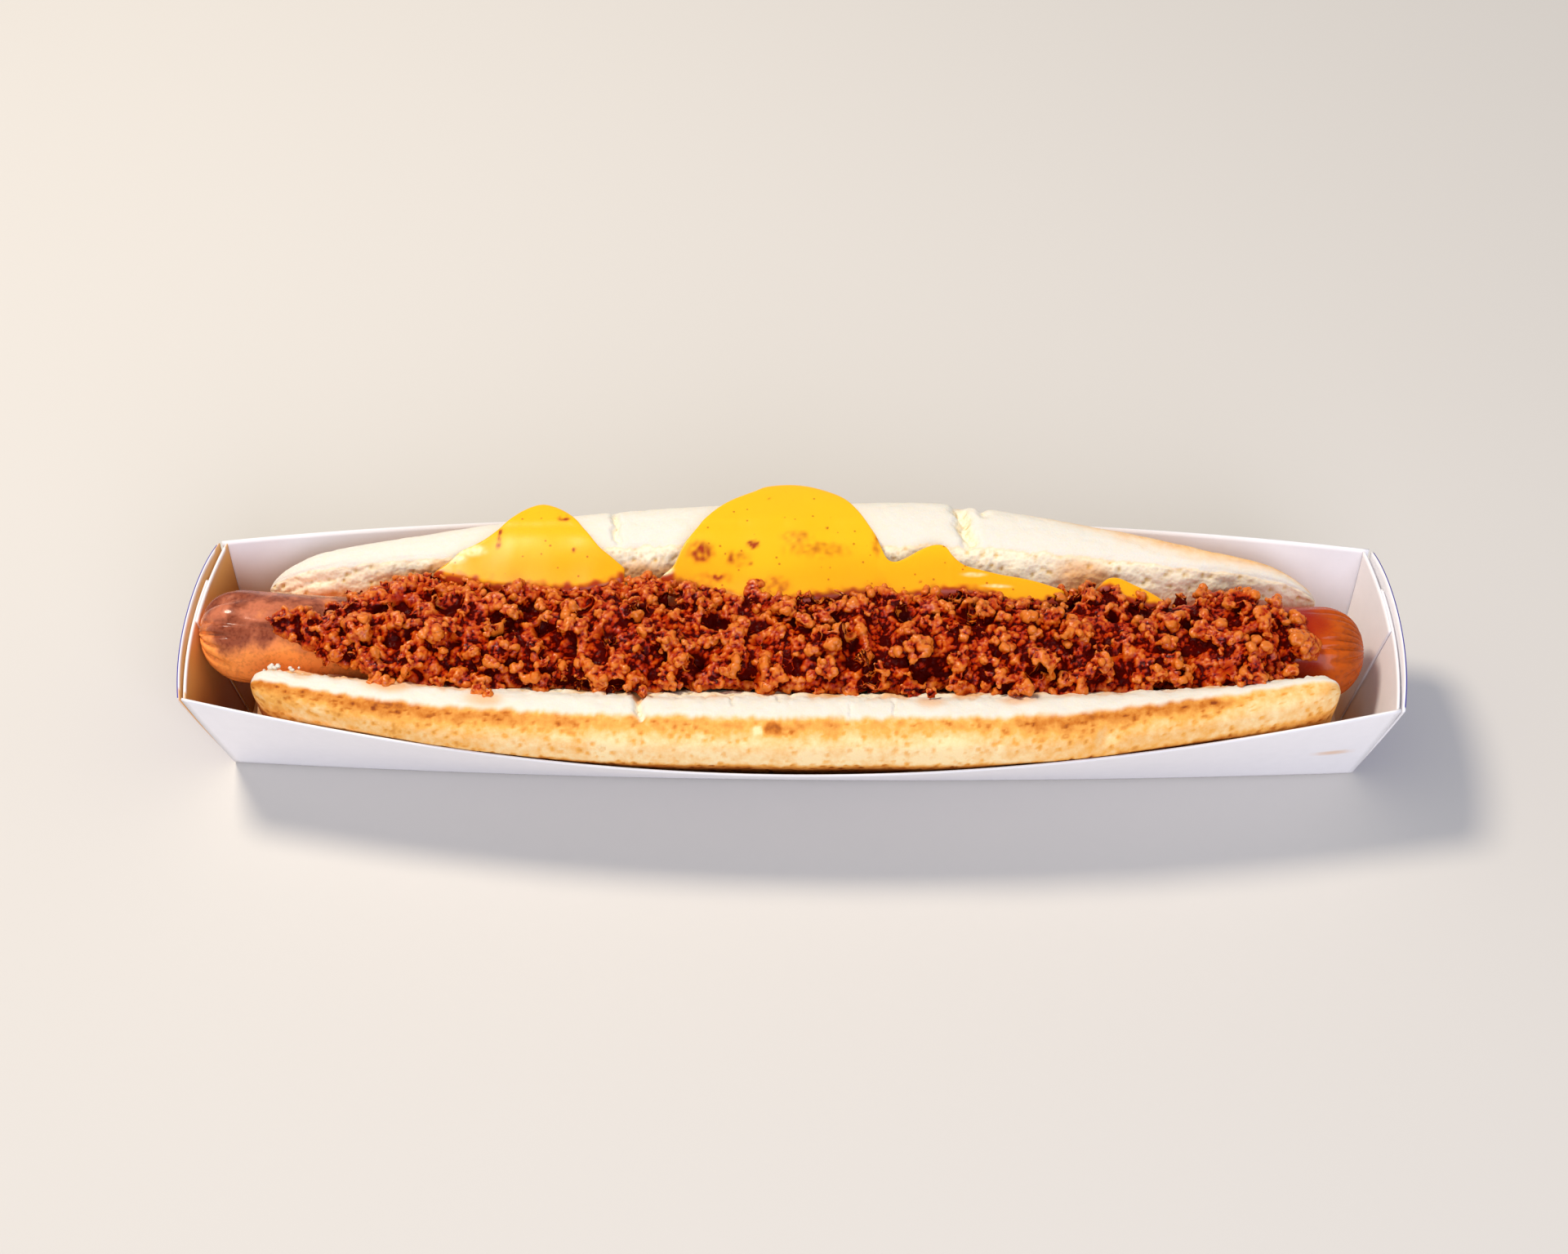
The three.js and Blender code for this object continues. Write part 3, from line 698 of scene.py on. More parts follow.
def paper_material(settings):
    # Clay-coated white paperboard, die cut and folded: a soft sheen over faint fibres
    material, tree = new_material("clay_coated_paperboard")
    place = add(tree, "ShaderNodeTexCoord", out="Object")
    # Fibre clouds are about 3 mm across, and the fine tooth under 0.5 mm
    cloud = add(tree, "ShaderNodeTexNoise", {"Vector": place, "Scale": 330, "Detail": 5})
    tooth = add(tree, "ShaderNodeTexNoise", {"Vector": place, "Scale": 2200, "Detail": 3})
    printed, grease_and_shade = (
        add(tree, "ShaderNodeAttribute", attribute_name=name, out="Fac")
        for name in ("print", "grease_and_shade")
    )
    printed = add(tree, "ShaderNodeMapRange", {
        "Value": printed, "From Min": 0.4, "From Max": 0.6,
    })
    tone = add(tree, "ShaderNodeMapRange", {"Value": cloud, "To Min": 0.965, "To Max": 1.02})
    # From paper through greased to oily: a grease smear and the painted warm shade inside the ends
    base = add(tree, "ShaderNodeValToRGB", {"Fac": grease_and_shade}, stops=[
        (0, settings.paper), (0.5, settings.greased_and_shaded), (1, settings.oily),
    ])
    base = add(
        tree, "ShaderNodeMix", {0: printed, 6: base, 7: settings.printed},
        data_type="RGBA", out=2,
    )
    toned = add(
        tree, "ShaderNodeMix", {0: 1.0, 6: base, 7: tone},
        data_type="RGBA", blend_type="MULTIPLY", out=2,
    )
    bump = add(tree, "ShaderNodeBump", {"Strength": 0.12, "Distance": 0.0001, "Height": tooth})
    finish_material(tree, {
        "Base Color": toned, "Roughness": 0.55, "IOR": 1.5, "Normal": bump,
        "Specular IOR Level": 0.35,
    })
    return material


# Bun


def tear_depth(x, y, jag):
    """How deep each place lies in one of the cracks."""
    depth = np.zeros_like(x)
    for place in TEARS:
        off = x - place["x"] - 0.12 * (place["y"] - y) + jag * min(1, place["deep"])
        reach = np.clip(1 - ((y - place["y"]) / place["long"]) ** 4, 0, 1)
        depth += place["deep"] * reach * np.exp(-((off / place["wide"]) ** 2))
    return depth


def make_bun(settings):
    section = bun_section()
    arc = np.concatenate([[0], np.cumsum(np.linalg.norm(np.diff(section, axis=0), axis=1))])

    def section_spacing(s):
        y = np.interp(s, arc, section[:, 0])
        z = np.interp(s, arc, section[:, 1])
        seen = ((y < -17) & (z > 30)) | ((y > 12) & (z > 38))
        return np.where(seen, 0.52, 2.0)

    def length_spacing(x):
        near_tear = np.min([np.abs(x - place["x"]) for place in TEARS], axis=0)
        return np.where(near_tear < 4, 0.38, 0.72) * np.where(np.abs(x) > 128, 0.6, 1)

    around, along = 216, 440
    bm, u, v = grid(around, along)
    s_stations = stations(0, arc[-1], around, section_spacing)
    x_stations = stations(
        BUN_X - BUN_LENGTH / 2, BUN_X + BUN_LENGTH / 2, along, length_spacing,
    )
    s = s_stations[np.rint(u * around).astype(int)]
    x = x_stations[np.rint(v * along).astype(int)]
    sec_y = np.interp(s, arc, section[:, 0])
    sec_z = np.interp(s, arc, section[:, 1])
    y, z = bun_point(x, sec_y, sec_z)
    short = NEAR_SHORT * smoothstep(-sec_y, 12, 20) * smoothstep(-x, 90, 140)
    place_corners(bm, np.stack([x + short, y, z], 1))
    turn_outwards(bm)

    # Noise is read on the flattened section, so it doesn't stretch where the bun narrows
    flat = np.stack([x, sec_y, sec_z], 1)
    coarse = wobble(flat * (0.6, 1, 1), 14, 3.1)
    medium = wobble(flat, 4.5, 7.7)
    fine = wobble(flat, 1.5, 1.3)
    torn = flat * (1, 0.4, 0.4)
    ragged = wobble(torn, 3.2, 9.1) + 0.6 * wobble(torn, 1.1, 2.4)
    near = sec_y < -14
    far = sec_y > 11

    # The near half's pale band lies on top, and down runs from its outer edge to the base
    band = np.argmin(np.linalg.norm(section - BAND_EDGE, axis=1))
    down = arc[band] - s
    band_shift = 2.6 * smoothstep(x, 55, 130) - 1.2 * smoothstep(-x, 40, 130)
    down = np.where(near, down + 1.0 * ragged + band_shift, 0)
    pale_near = near * (1 - smoothstep(down, -0.7, 1.4)) * (sec_z > 26)
    # The far half's crumb is its cut face, from the trough to the ragged edge of the skin
    crumb_edge = FAR_CRUMB_EDGE + 0.8 * ragged
    crumb_far = far * (1 - smoothstep(sec_y, crumb_edge - 0.5, crumb_edge + 0.4)) * (sec_z > 29)
    inner_edge = NEAR_CRUMB_EDGE + 0.7 * ragged
    crumb_near = near * smoothstep(sec_y, inner_edge, inner_edge + 1.5) * (sec_z > 20)
    crumb = np.clip(crumb_far + crumb_near, 0, 1)
    back = far * (sec_y + 1.5 * ragged + 3 * (43 - sec_z).clip(0, 4))
    right = smoothstep(x, 45, 115)
    tan_far = far * smoothstep(back, mix(38, 22, right), mix(47, 38, right)) * mix(0.6, 0.9, right)

    real = np.stack([x, y, z], 1)
    hole_at, hole_id = cells(real, 2.1, 4.0)
    small_at, small_id = cells(real, 1.2, 8.0)
    pit = smoothstep(0.5 - hole_at, 0, 0.4) * smoothstep(hole_id, 0.35, 0.9)
    pit += 0.5 * smoothstep(0.5 - small_at, 0, 0.4) * small_id
    crust_at, crust_id = cells(flat * (1, 1.25, 1), 1.9, 2.0)
    dense = 0.45 + 0.55 * smoothstep(-x, 20, 80)
    crust_pit = smoothstep(0.28 + 0.25 * crust_id - crust_at, 0, 0.24)
    crust_pit *= near * smoothstep(down, 0.5, 2.5)
    crust_pit *= smoothstep(crust_id, 0.75 - 0.6 * dense, 0.9 - 0.6 * dense)
    jag = 1.3 * wobble(flat * (0.2, 1, 1), 3.4, 5.5) + 0.5 * wobble(flat, 1.4, 8.5)
    depth = tear_depth(x, sec_y, jag)
    torn_open = (sec_z > 36) * smoothstep(depth, 0.7, 1.6)
    crumb = np.maximum(crumb, torn_open)

    lift = 0.35 * coarse + 0.1 * medium
    lift += pale_near * (0.2 * medium + 0.14 * fine + 0.25)
    creases = ridges(flat * (0.5, 1, 1), 5, 6.0).clip(0.4, 1)
    lift += far * (1 - crumb) * (0.08 * fine - 0.2 * (creases - 0.4))
    lift -= crumb * (pit * 0.55 - 0.2 - 0.4 * medium - 0.3 * wobble(real, 1.4, 1.3))
    flaky = near * np.exp(-(((sec_y + 27.5) / 1.6) ** 2))
    lift += flaky * (0.5 * wobble(flat, 1.8, 3.8) + 0.35 * fine)
    lift -= crust_pit * 0.22
    # A dimple near the right of the browned side
    lift -= 1.1 * spot(x, down, (80, 8.5, 2.6, 2.8, 1)) * near
    lift -= depth
    # The trough and the base stay as they are, clear of the sausage and the tray
    hidden = (sec_z < 26) | ((np.abs(sec_y - SAUSAGE_Y) < 13.5) & (sec_z < 31))
    end = smoothstep(BUN_LENGTH / 2 - np.abs(x - BUN_X), 0, 2.0)
    under_left = (x > -95) & (x < -43) & (sec_y < edge_line(LEFT_EDGE, x) + 0.5)
    under_right = (x > -35) & (x < 72) & (sec_y < edge_line(RIGHT_EDGE, x) + 0.5)
    lift = np.where(far & (under_left | under_right), np.minimum(lift, 0), lift)
    push(bm, np.where(hidden, 0, lift) * end)

    # How brown each place is, from cream to nearly burnt: the oven's browning, with painted shade
    # low on the near crust where it meets the tray's rim
    left = smoothstep(-x, 35, 100)
    rich = smoothstep(x, 45, 75) * (1 - smoothstep(x, 106, 114))
    blond = smoothstep(x, 106, 116)
    peak = np.exp(-(((down - 2.8) / 3.2) ** 2)) * mix(0.42, 0.12, blond)
    toast_and_rim_shade = 0.1 + peak + 0.24 * left + 0.24 * rich + 0.12 * blond
    # Painted shade: the near crust darkens low down, where it meets the tray's rim
    toast_and_rim_shade += mix(0.6, 0.35, blond) * smoothstep(down, 13.2, 16)
    toast_and_rim_shade = np.where(near, toast_and_rim_shade, 0.36 + 0.3 * smoothstep(back, 44, 56))
    blotch = wobble(flat * (1, 0.6, 0.6), 8, 3.3)
    toast_and_rim_shade += 0.13 * blotch + 0.1 * medium + 0.24 * crust_pit
    toast_and_rim_shade += 0.4 * spot(x, down, (-3.2, 3.5, 2.5, 2.5, 1)) * near
    toast_and_rim_shade -= 0.5 * spot(x, down, (-6.9, 4.0, 1.3, 1.3, 1)) * near

    paint(bm, "pale", np.clip(pale_near + far * (1 - crumb_far) * (1 - tan_far), 0, 1))
    paint(bm, "crumb", crumb)
    paint(bm, "toast_and_rim_shade", np.clip(toast_and_rim_shade, 0, 1))
    paint(bm, "hole", np.clip(pit * crumb, 0, 1))
    # Fat and sauce soak in along the filling, in patches
    soft = wobble(flat, 9, 6.5)
    soak_near = near * (sec_z > 26) * smoothstep(sec_y, -30.5 + 2.0 * ragged, -25.5)
    soak_near *= smoothstep(soft, -0.05, 0.3) + 0.8 * smoothstep(-x, 70, 85)
    reach = 34.5 + 5.5 * np.clip(soft + 0.2, 0, 1) + 5 * spot(x, 0 * x, (79, 0, 6, 1, 1))
    reach += 7 * smoothstep(-x, 20, 35) * (1 - smoothstep(-x, 105, 118))
    soak_far = far * crumb_far * (1 - smoothstep(sec_z + ragged, reach - 1, reach + 2.5))
    drops = sum(spot(x, sec_y, place) for place in SOAKED)
    paint(bm, "soak", np.clip(soak_near + soak_far + drops, 0, 1))
    close_skin(bm)
    # Loose flakes lie where the near half's left end was torn
    flakes = bmesh.new()
    draw = draws_from(91)
    for _ in range(16):
        place = -137 + 12 * next(draw) ** 1.3
        y, z = bun_point(np.array([place]), np.array([-27 + 5 * next(draw)]), np.array([40.5]))
        add_lump(flakes, draw, (place + NEAR_SHORT, y[0], z[0] + 0.2), 0.4 + 0.8 * next(draw) ** 2)
    paint(flakes, "pale", [1.0] * len(flakes.verts))
    pour_into(bm, flakes)
    return make_piece("bun_crust_and_crumb", bm, bun_material(settings), "bread", "bun")


def bun_material(settings):
    # Soft wheat bun, oven browned on its outer side: matt, pitted crust and open pale crumb, with
    # painted shade low on the near crust at the tray's rim and in the crumb's holes
    material, tree = new_material("baked_wheat_bun")
    place = add(tree, "ShaderNodeTexCoord", out="Object")
    pale, crumb, toast_and_rim_shade, hole, soak = (
        add(tree, "ShaderNodeAttribute", attribute_name=name, out="Fac")
        for name in ("pale", "crumb", "toast_and_rim_shade", "hole", "soak")
    )
    # Crumb cells are about 1 mm, the crust's mottling 2 mm and flour grain under 0.5 mm
    cell = add(tree, "ShaderNodeTexVoronoi", {"Vector": place, "Scale": 950}, out="Distance")
    speck = add(tree, "ShaderNodeTexNoise", {"Vector": place, "Scale": 480, "Detail": 5})
    grain = add(tree, "ShaderNodeTexNoise", {"Vector": place, "Scale": 1700, "Detail": 4})
    # The crust ramp takes the oven's browning together with the painted shade at the tray's rim
    browned = add(tree, "ShaderNodeMapRange", {
        "Value": speck, "From Min": 0.25, "From Max": 0.75, "To Min": -0.16, "To Max": 0.16,
    })
    browned = add(tree, "ShaderNodeMath", {0: toast_and_rim_shade, 1: browned}, operation="ADD")
    crust = add(tree, "ShaderNodeValToRGB", {"Fac": browned}, stops=[
        (0.05, settings.cream), (0.45, settings.crust), (0.8, settings.brown), (1, settings.baked),
    ])
    shade = add(tree, "ShaderNodeMapRange", {
        "Value": speck, "From Min": 0.4, "From Max": 0.75, "To Max": 0.18,
    })
    skin = add(
        tree, "ShaderNodeMix", {0: shade, 6: settings.skin, 7: settings.cream},
        data_type="RGBA", out=2,
    )
    outer = add(tree, "ShaderNodeMix", {0: pale, 6: crust, 7: skin}, data_type="RGBA", out=2)
    # Painted shade darkens the crumb towards its holes
    deep = add(tree, "ShaderNodeMapRange", {
        "Value": cell, "From Min": 0.5, "From Max": 0.1, "To Max": 0.22,
    })
    deep = add(tree, "ShaderNodeMath", {0: deep, 1: hole}, operation="ADD", use_clamp=True)
    inner = add(
        tree, "ShaderNodeMix", {0: deep, 6: settings.crumb, 7: settings.hole},
        data_type="RGBA", out=2,
    )
    colour = add(tree, "ShaderNodeMix", {0: crumb, 6: outer, 7: inner}, data_type="RGBA", out=2)
    soaking = add(tree, "ShaderNodeMath", {0: soak, 1: 0.7}, operation="MULTIPLY")
    colour = add(
        tree, "ShaderNodeMix", {0: soaking, 6: colour, 7: settings.soaked},
        data_type="RGBA", out=2,
    )
    height = add(
        tree, "ShaderNodeMix", {0: crumb, 2: grain, 3: cell}, data_type="FLOAT", out=0,
    )
    bump = add(tree, "ShaderNodeBump", {"Strength": 0.4, "Distance": 0.0004, "Height": height})
    finish_material(tree, {
        "Base Color": colour, "Roughness": 0.75, "IOR": 1.45, "Normal": bump,
        "Specular IOR Level": 0.25, "Subsurface Weight": 0.12, "Subsurface Scale": 0.002,
        "Subsurface Radius": (1.0, 0.6, 0.35),
    })
    return material


# Sausage


def make_sausage(settings):
    around, along = 176, 420
    bm, u, v = grid(around, along)
    half = SAUSAGE_LENGTH / 2
    t = 2 * v - 1
    s = half * (0.72 * t + 0.28 * np.sin(t * math.pi / 2))
    from_tip = np.clip((np.abs(s) - half + TIP_LENGTH) / TIP_LENGTH, 0, 1)
    radius = SAUSAGE_RADIUS * np.sqrt(np.maximum(0, 1 - from_tip**2.4))
    angle = u * 2 * math.pi
    for end, count, deep, wide, reach in TIP_CREASES:
        turn = angle + 0.16 * np.sin(3 * angle + end)
        share = turn * count / (2 * math.pi)
        off = (share - np.rint(share)) * 2 * math.pi / count
        length = reach * (0.75 + 0.25 * np.sin(5 * np.rint(share)))
        fade = smoothstep(end * s, half - length, half - 3) * (radius / SAUSAGE_RADIUS) ** 0.6
        radius = radius - deep * fade * np.exp(-((off / wide) ** 2))
    x = s + SAUSAGE_X
    y = SAUSAGE_Y + radius * np.cos(angle)
    z = SAUSAGE_Z + sausage_lift(x) + radius * np.sin(angle)
    place_corners(bm, np.stack([x, y, z], 1))
    close_skin(bm, 0.003)
    points = corners(bm)
    x, y, z = points.T
    skin = 0.05 * wobble(points * (0.35, 1, 1), 2.2, 4.4) + 0.14 * wobble(points, 9, 1.2)
    # A long wrinkle runs from the left tip along the casing
    crease_y = SAUSAGE_Y - 4.8 - 0.05 * (x + 150) + 0.5 * wobble(points * (1, 0, 0), 7, 7.0)
    fade = smoothstep(-x, 120, 127) * (z > SAUSAGE_Z + 9)
    skin -= 0.6 * fade * np.exp(-(((y - crease_y) / 0.45) ** 2))
    skin += 0.35 * fade * np.exp(-(((y - crease_y - 1.1) / 0.7) ** 2))
    push(bm, skin)
    paint(bm, "left", smoothstep(-x, 40, 110))
    glaze = smoothstep(x, 112, 128) * (1 - smoothstep(x + 2.5 * wobble(points, 5, 2.0), 133, 142))
    glaze *= smoothstep(z - 0.35 * (y - SAUSAGE_Y) * (y < SAUSAGE_Y), SAUSAGE_Z + 4, SAUSAGE_Z + 12)
    paint(bm, "glaze", glaze)
    paint(bm, "tip", smoothstep(x, 132, 148))
    return make_piece("griddled_sausage", bm, sausage_material(settings), "sausage_skin", "sausage")


def sausage_material(settings):
    # Cooked sausage in its casing: wet gloss over a translucent, mottled skin
    material, tree = new_material("cooked_sausage_casing")
    place = add(tree, "ShaderNodeTexCoord", out="Object")
    left, tip, glaze = (
        add(tree, "ShaderNodeAttribute", attribute_name=name, out="Fac")
        for name in ("left", "tip", "glaze")
    )
    # Spice specks are about 1 mm and the smoke's mottling about 8 mm
    speck = add(tree, "ShaderNodeTexNoise", {"Vector": place, "Scale": 900, "Detail": 4})
    cloud = add(tree, "ShaderNodeTexNoise", {"Vector": place, "Scale": 130, "Detail": 4})
    height = add(tree, "ShaderNodeSeparateXYZ", {"Vector": place}, out="Z")
    uneven = add(tree, "ShaderNodeMapRange", {
        "Value": cloud, "From Min": 0.3, "From Max": 0.7, "To Min": -0.003, "To Max": 0.003,
    })
    height = add(tree, "ShaderNodeMath", {0: height, 1: uneven}, operation="ADD")
    upper = add(tree, "ShaderNodeMapRange", {
        "Value": height, "From Min": 0.038, "From Max": 0.0435,
    })
    smoked = add(tree, "ShaderNodeMath", {0: upper, 1: left}, operation="MULTIPLY")
    mottle = add(tree, "ShaderNodeMapRange", {
        "Value": speck, "From Min": 0.48, "From Max": 0.7, "To Max": 0.32,
    })
    patch = add(tree, "ShaderNodeMapRange", {"Value": cloud, "From Min": 0.46, "From Max": 0.58})
    patch = add(tree, "ShaderNodeMath", {0: patch, 1: smoked}, operation="MULTIPLY")
    mottle = add(
        tree, "ShaderNodeMath", {0: patch, 1: 0.7, 2: mottle}, operation="MULTIPLY_ADD",
    )
    mottle = add(
        tree, "ShaderNodeMath", {0: tip, 1: 0.35, 2: mottle}, operation="MULTIPLY_ADD",
        use_clamp=True,
    )
    colour = settings.skin
    for share, over in (
        (left, settings.left), (smoked, settings.blush), (mottle, settings.charred),
        (glaze, settings.glaze),
    ):
        colour = add(
            tree, "ShaderNodeMix", {0: share, 6: colour, 7: over}, data_type="RGBA", out=2,
        )
    bump = add(tree, "ShaderNodeBump", {"Strength": 0.35, "Distance": 0.00015, "Height": speck})
    gloss = add(tree, "ShaderNodeMapRange", {"Value": speck, "To Min": 0.15, "To Max": 0.35})
    wet = add(tree, "ShaderNodeMapRange", {"Value": left, "To Min": 0.08, "To Max": 0.3})
    finish_material(tree, {
        "Base Color": colour, "Roughness": gloss, "IOR": 1.4, "Normal": bump,
        "Subsurface Weight": 0.08, "Subsurface Scale": 0.003, "Specular IOR Level": 0.2,
        "Subsurface Radius": (1.0, 0.35, 0.15), "Coat Weight": wet, "Coat Roughness": 0.1,
    })
    return material


# Chili


def on_heap(x, angle, scale):
    return np.array([float(c) for c in heap_point(np.float64(x), angle, scale)])


def crumble_places(draw):
    """Places and sizes of crumbles scattered over the heap's skin, row by row."""
    x = CHILI_LEFT + 3
    while x < CHILI_RIGHT - 2:
        across = max(2, round(float(heap_half_width(x)) * CRUMBLES_IN_ROW / CRUMBLE_STEP))
        row = []
        for i in range(across):
            angle = math.pi * mix(0.03, 0.97, (i + 0.15 + 0.7 * next(draw)) / across)
            scale = CRUMBLE_DEPTH + 0.06 * next(draw)
            place = on_heap(x + (next(draw) - 0.5) * CRUMBLE_STEP, angle, scale)
            row.append((place, CRUMBLE_RADIUS + CRUMBLE_SPREAD * next(draw) ** 1.5))
        yield row
        x += CRUMBLE_STEP


def add_lump(bm, draw, place, radius, detail=1):
    """One small lump, stretched and turned by chance."""
    size = (0.8 + 0.6 * next(draw), 0.75 + 0.4 * next(draw), 0.6 + 0.4 * next(draw))
    turn = Matrix.Rotation((next(draw) - 0.5) * 1.6, 4, "X")
    turn @= Matrix.Rotation(next(draw) * math.pi, 4, "Z")
    shape = Matrix.Translation(Vector(place)) @ turn @ Matrix.Diagonal((*size, 1))
    bmesh.ops.create_icosphere(bm, subdivisions=detail, radius=radius, matrix=shape)


def add_chunk(bm, draw, place, radius, count=15):
    """A cluster of small lumps that reads as one torn crumble of mince."""
    lumps = bmesh.new()
    add_lump(lumps, draw, place, radius * 0.62, 2)
    for _ in range(count):
        away = Vector([next(draw) - 0.5 for _ in range(3)]).normalized()
        away *= radius * (0.4 + 0.5 * next(draw))
        add_lump(lumps, draw, Vector(place) + away, radius * (0.14 + 0.36 * next(draw)))
    pour_into(bm, lumps)


def pour_into(bm, other):
    """Adds another mesh to bm and frees it."""
    mesh = bpy.data.meshes.new("pour")
    other.to_mesh(mesh)
    other.free()
    bm.from_mesh(mesh)
    bpy.data.meshes.remove(mesh)


def remeshed(bm):
    """The outer skin of many overlapping lumps as one even mesh."""
    mesh = bpy.data.meshes.new("lumps")
    bm.to_mesh(mesh)
    bm.free()
    helper = bpy.data.objects.new("lumps", mesh)
    bpy.context.scene.collection.objects.link(helper)
    modifier = helper.modifiers.new("even", "REMESH")
    modifier.mode = "VOXEL"
    modifier.voxel_size = HEAP_CELL
    bpy.context.view_layer.update()
    even = helper.evaluated_get(bpy.context.evaluated_depsgraph_get()).to_mesh()
    result = bmesh.new()
    result.from_mesh(even)
    bpy.data.objects.remove(helper)
    bpy.data.meshes.remove(mesh)
    return result


def heap_core():
    """The heap's body, which the crumbles stand out of."""
    bm, u, v = grid(72, 300)
    x = mix(CHILI_LEFT, CHILI_RIGHT, v)
    taper = np.sqrt(np.clip(1 - np.abs(2 * v - 1) ** 24, 0.0004, 1))
    place_corners(bm, np.stack(heap_point(x, 2 * math.pi * u, HEAP_CORE * taper), 1))
    close_skin(bm)
    points = corners(bm)
    push(bm, 1.5 * ridges(points, CREST_SIZE, CREST_SEED) - 0.4 + 0.7 * wobble(points, 3.2, 5.3))
    return bm


def reliefs(bm, steps):
    """How far each corner stands out of what surrounds it, at several distances."""
    bm.verts.index_update()
    bm.normal_update()
    normals = np.array([v.normal for v in bm.verts])
    start, end = np.array([[v.index for v in e.verts] for e in bm.edges]).T
    points = corners(bm)
    count = len(points)
    share = np.bincount(start, minlength=count) + np.bincount(end, minlength=count)
    smooth = points
    found = []
    for step in range(1, max(steps) + 1):
        total = np.stack([
            np.bincount(start, line[end], count) + np.bincount(end, line[start], count)
            for line in smooth.T
        ], 1)
        smooth = 0.3 * smooth + 0.7 * total / share[:, None]
        if step in steps:
            found.append(((points - smooth) * normals).sum(1))
    return found


def make_chili(settings):
    draw = draws_from(settings.seed)
    pits = [(on_heap(x, angle, 1.0), radius) for x, angle, radius in PITS]

    def in_pit(place, radius):
        return any(
            np.linalg.norm(place - pit) < PIT_REACH * size + 0.4 * radius for pit, size in pits
        )

    bm = heap_core()
    for x, angle, radius in CHUNKS:
        add_chunk(bm, draw, on_heap(x, angle, 0.97), radius, 26)
    # Crumbles sit thickest along the heap's crests
    for row in crumble_places(draw):
        crests = ridges([place for place, _ in row], CREST_SIZE, CREST_SEED)
        for (place, radius), crest in zip(row, crests):
            if not in_pit(place, radius) and crest > -0.3:
                add_chunk(bm, draw, place, radius * (0.85 + 0.6 * max(crest, 0)))
    # Crumbles lie along the far rim, half on the cheese
    for x in np.arange(CHILI_RIM[0][0], CHILI_RIM[-1][0], 1.7):
        rim = float(edge_line(CHILI_RIM, x))
        for inward, radius in ((-0.4, 1.3), (1.2, 1.8), (4.2, 2.3)):
            place = (x, rim - inward - 2.6 * next(draw), 42.3 + 1.2 * next(draw))
            add_chunk(bm, draw, place, radius * (0.5 + 0.7 * next(draw)), 11)
    for x, y, z, radius in FALLEN:
        add_chunk(bm, draw, (x, y, z), radius, 18)
    heap = remeshed(bm)
    points = corners(heap)
    hollow = sum(
        PIT_DEPTH * np.exp(-((np.linalg.norm(points - pit, axis=1) / (PIT_REACH * size)) ** 4))
        for pit, size in pits
    )
    # Mince is made of fused grains, which are each their own tone
    grain_at, grain_id = cells(points, settings.grain * 1.2, 2.2)
    fine_at, fine_id = cells(points, settings.grain * 0.7, 6.2)
    grains = 0.4 * np.sqrt(np.clip(1 - (grain_at / 0.65) ** 2, 0, 1))
    grains += 0.17 * np.sqrt(np.clip(1 - (fine_at / 0.65) ** 2, 0, 1))
    rough = 0.8 * wobble(points, 5.2, 6.6) + 0.5 * wobble(points, 2.3, 2.2) + grains - 0.1
    rough -= 0.35 * np.maximum(ridges(points, 3.4, 9.2), -0.5)
    rough -= 1.9 * smoothstep(-ridges(points, 10, 12.4), 0.0, 1.2)
    seen = smoothstep(points[:, 2] - SAUSAGE_Z - sausage_lift(points[:, 0]), 3, 5)
    push(heap, (rough - hollow) * seen)
    for vert in heap.verts:
        vert.co.z -= 0.4 * max(0, vert.co.z - HEAP_TOP)
    # How far each place stands out: the material turns it into painted shade in the hollows and
    # painted light on what stands out
    fine, middling, coarse = reliefs(heap, RELIEF_STEPS)
    paint(heap, "fine", np.clip(0.5 + fine / 0.5, 0, 1))
    standing = 0.5 * middling + 0.5 * coarse
    paint(heap, "coarse", np.clip(0.5 + (standing - 0.5) / 2.4, 0, 1))
    paint(heap, "grain", grain_id * 0.6 + fine_id * 0.4)
    material = chili_material(settings)
    for name, low, high in zip(("left", "middle", "right"), HEAP_CUTS[:-1], HEAP_CUTS[1:]):
        part = heap.copy()
        for place, side in ((low, -1), (high, 1)):
            cut = bmesh.ops.bisect_plane(
                part, geom=[*part.verts, *part.edges, *part.faces], dist=1e-5,
                plane_co=(place, 0, 0), plane_no=(side, 0, 0), clear_outer=True,
            )["geom_cut"]
            rims = [e for e in cut if isinstance(e, bmesh.types.BMEdge)]
            if rims:
                bmesh.ops.triangle_fill(part, edges=rims, use_beauty=True, use_dissolve=False)
                for edge in rims:
                    edge.smooth = False
        nodes = ("chili",) if name == "left" else ()
        make_piece("chili_heap_" + name, part, material, "chili_sauce", *nodes)
    heap.free()


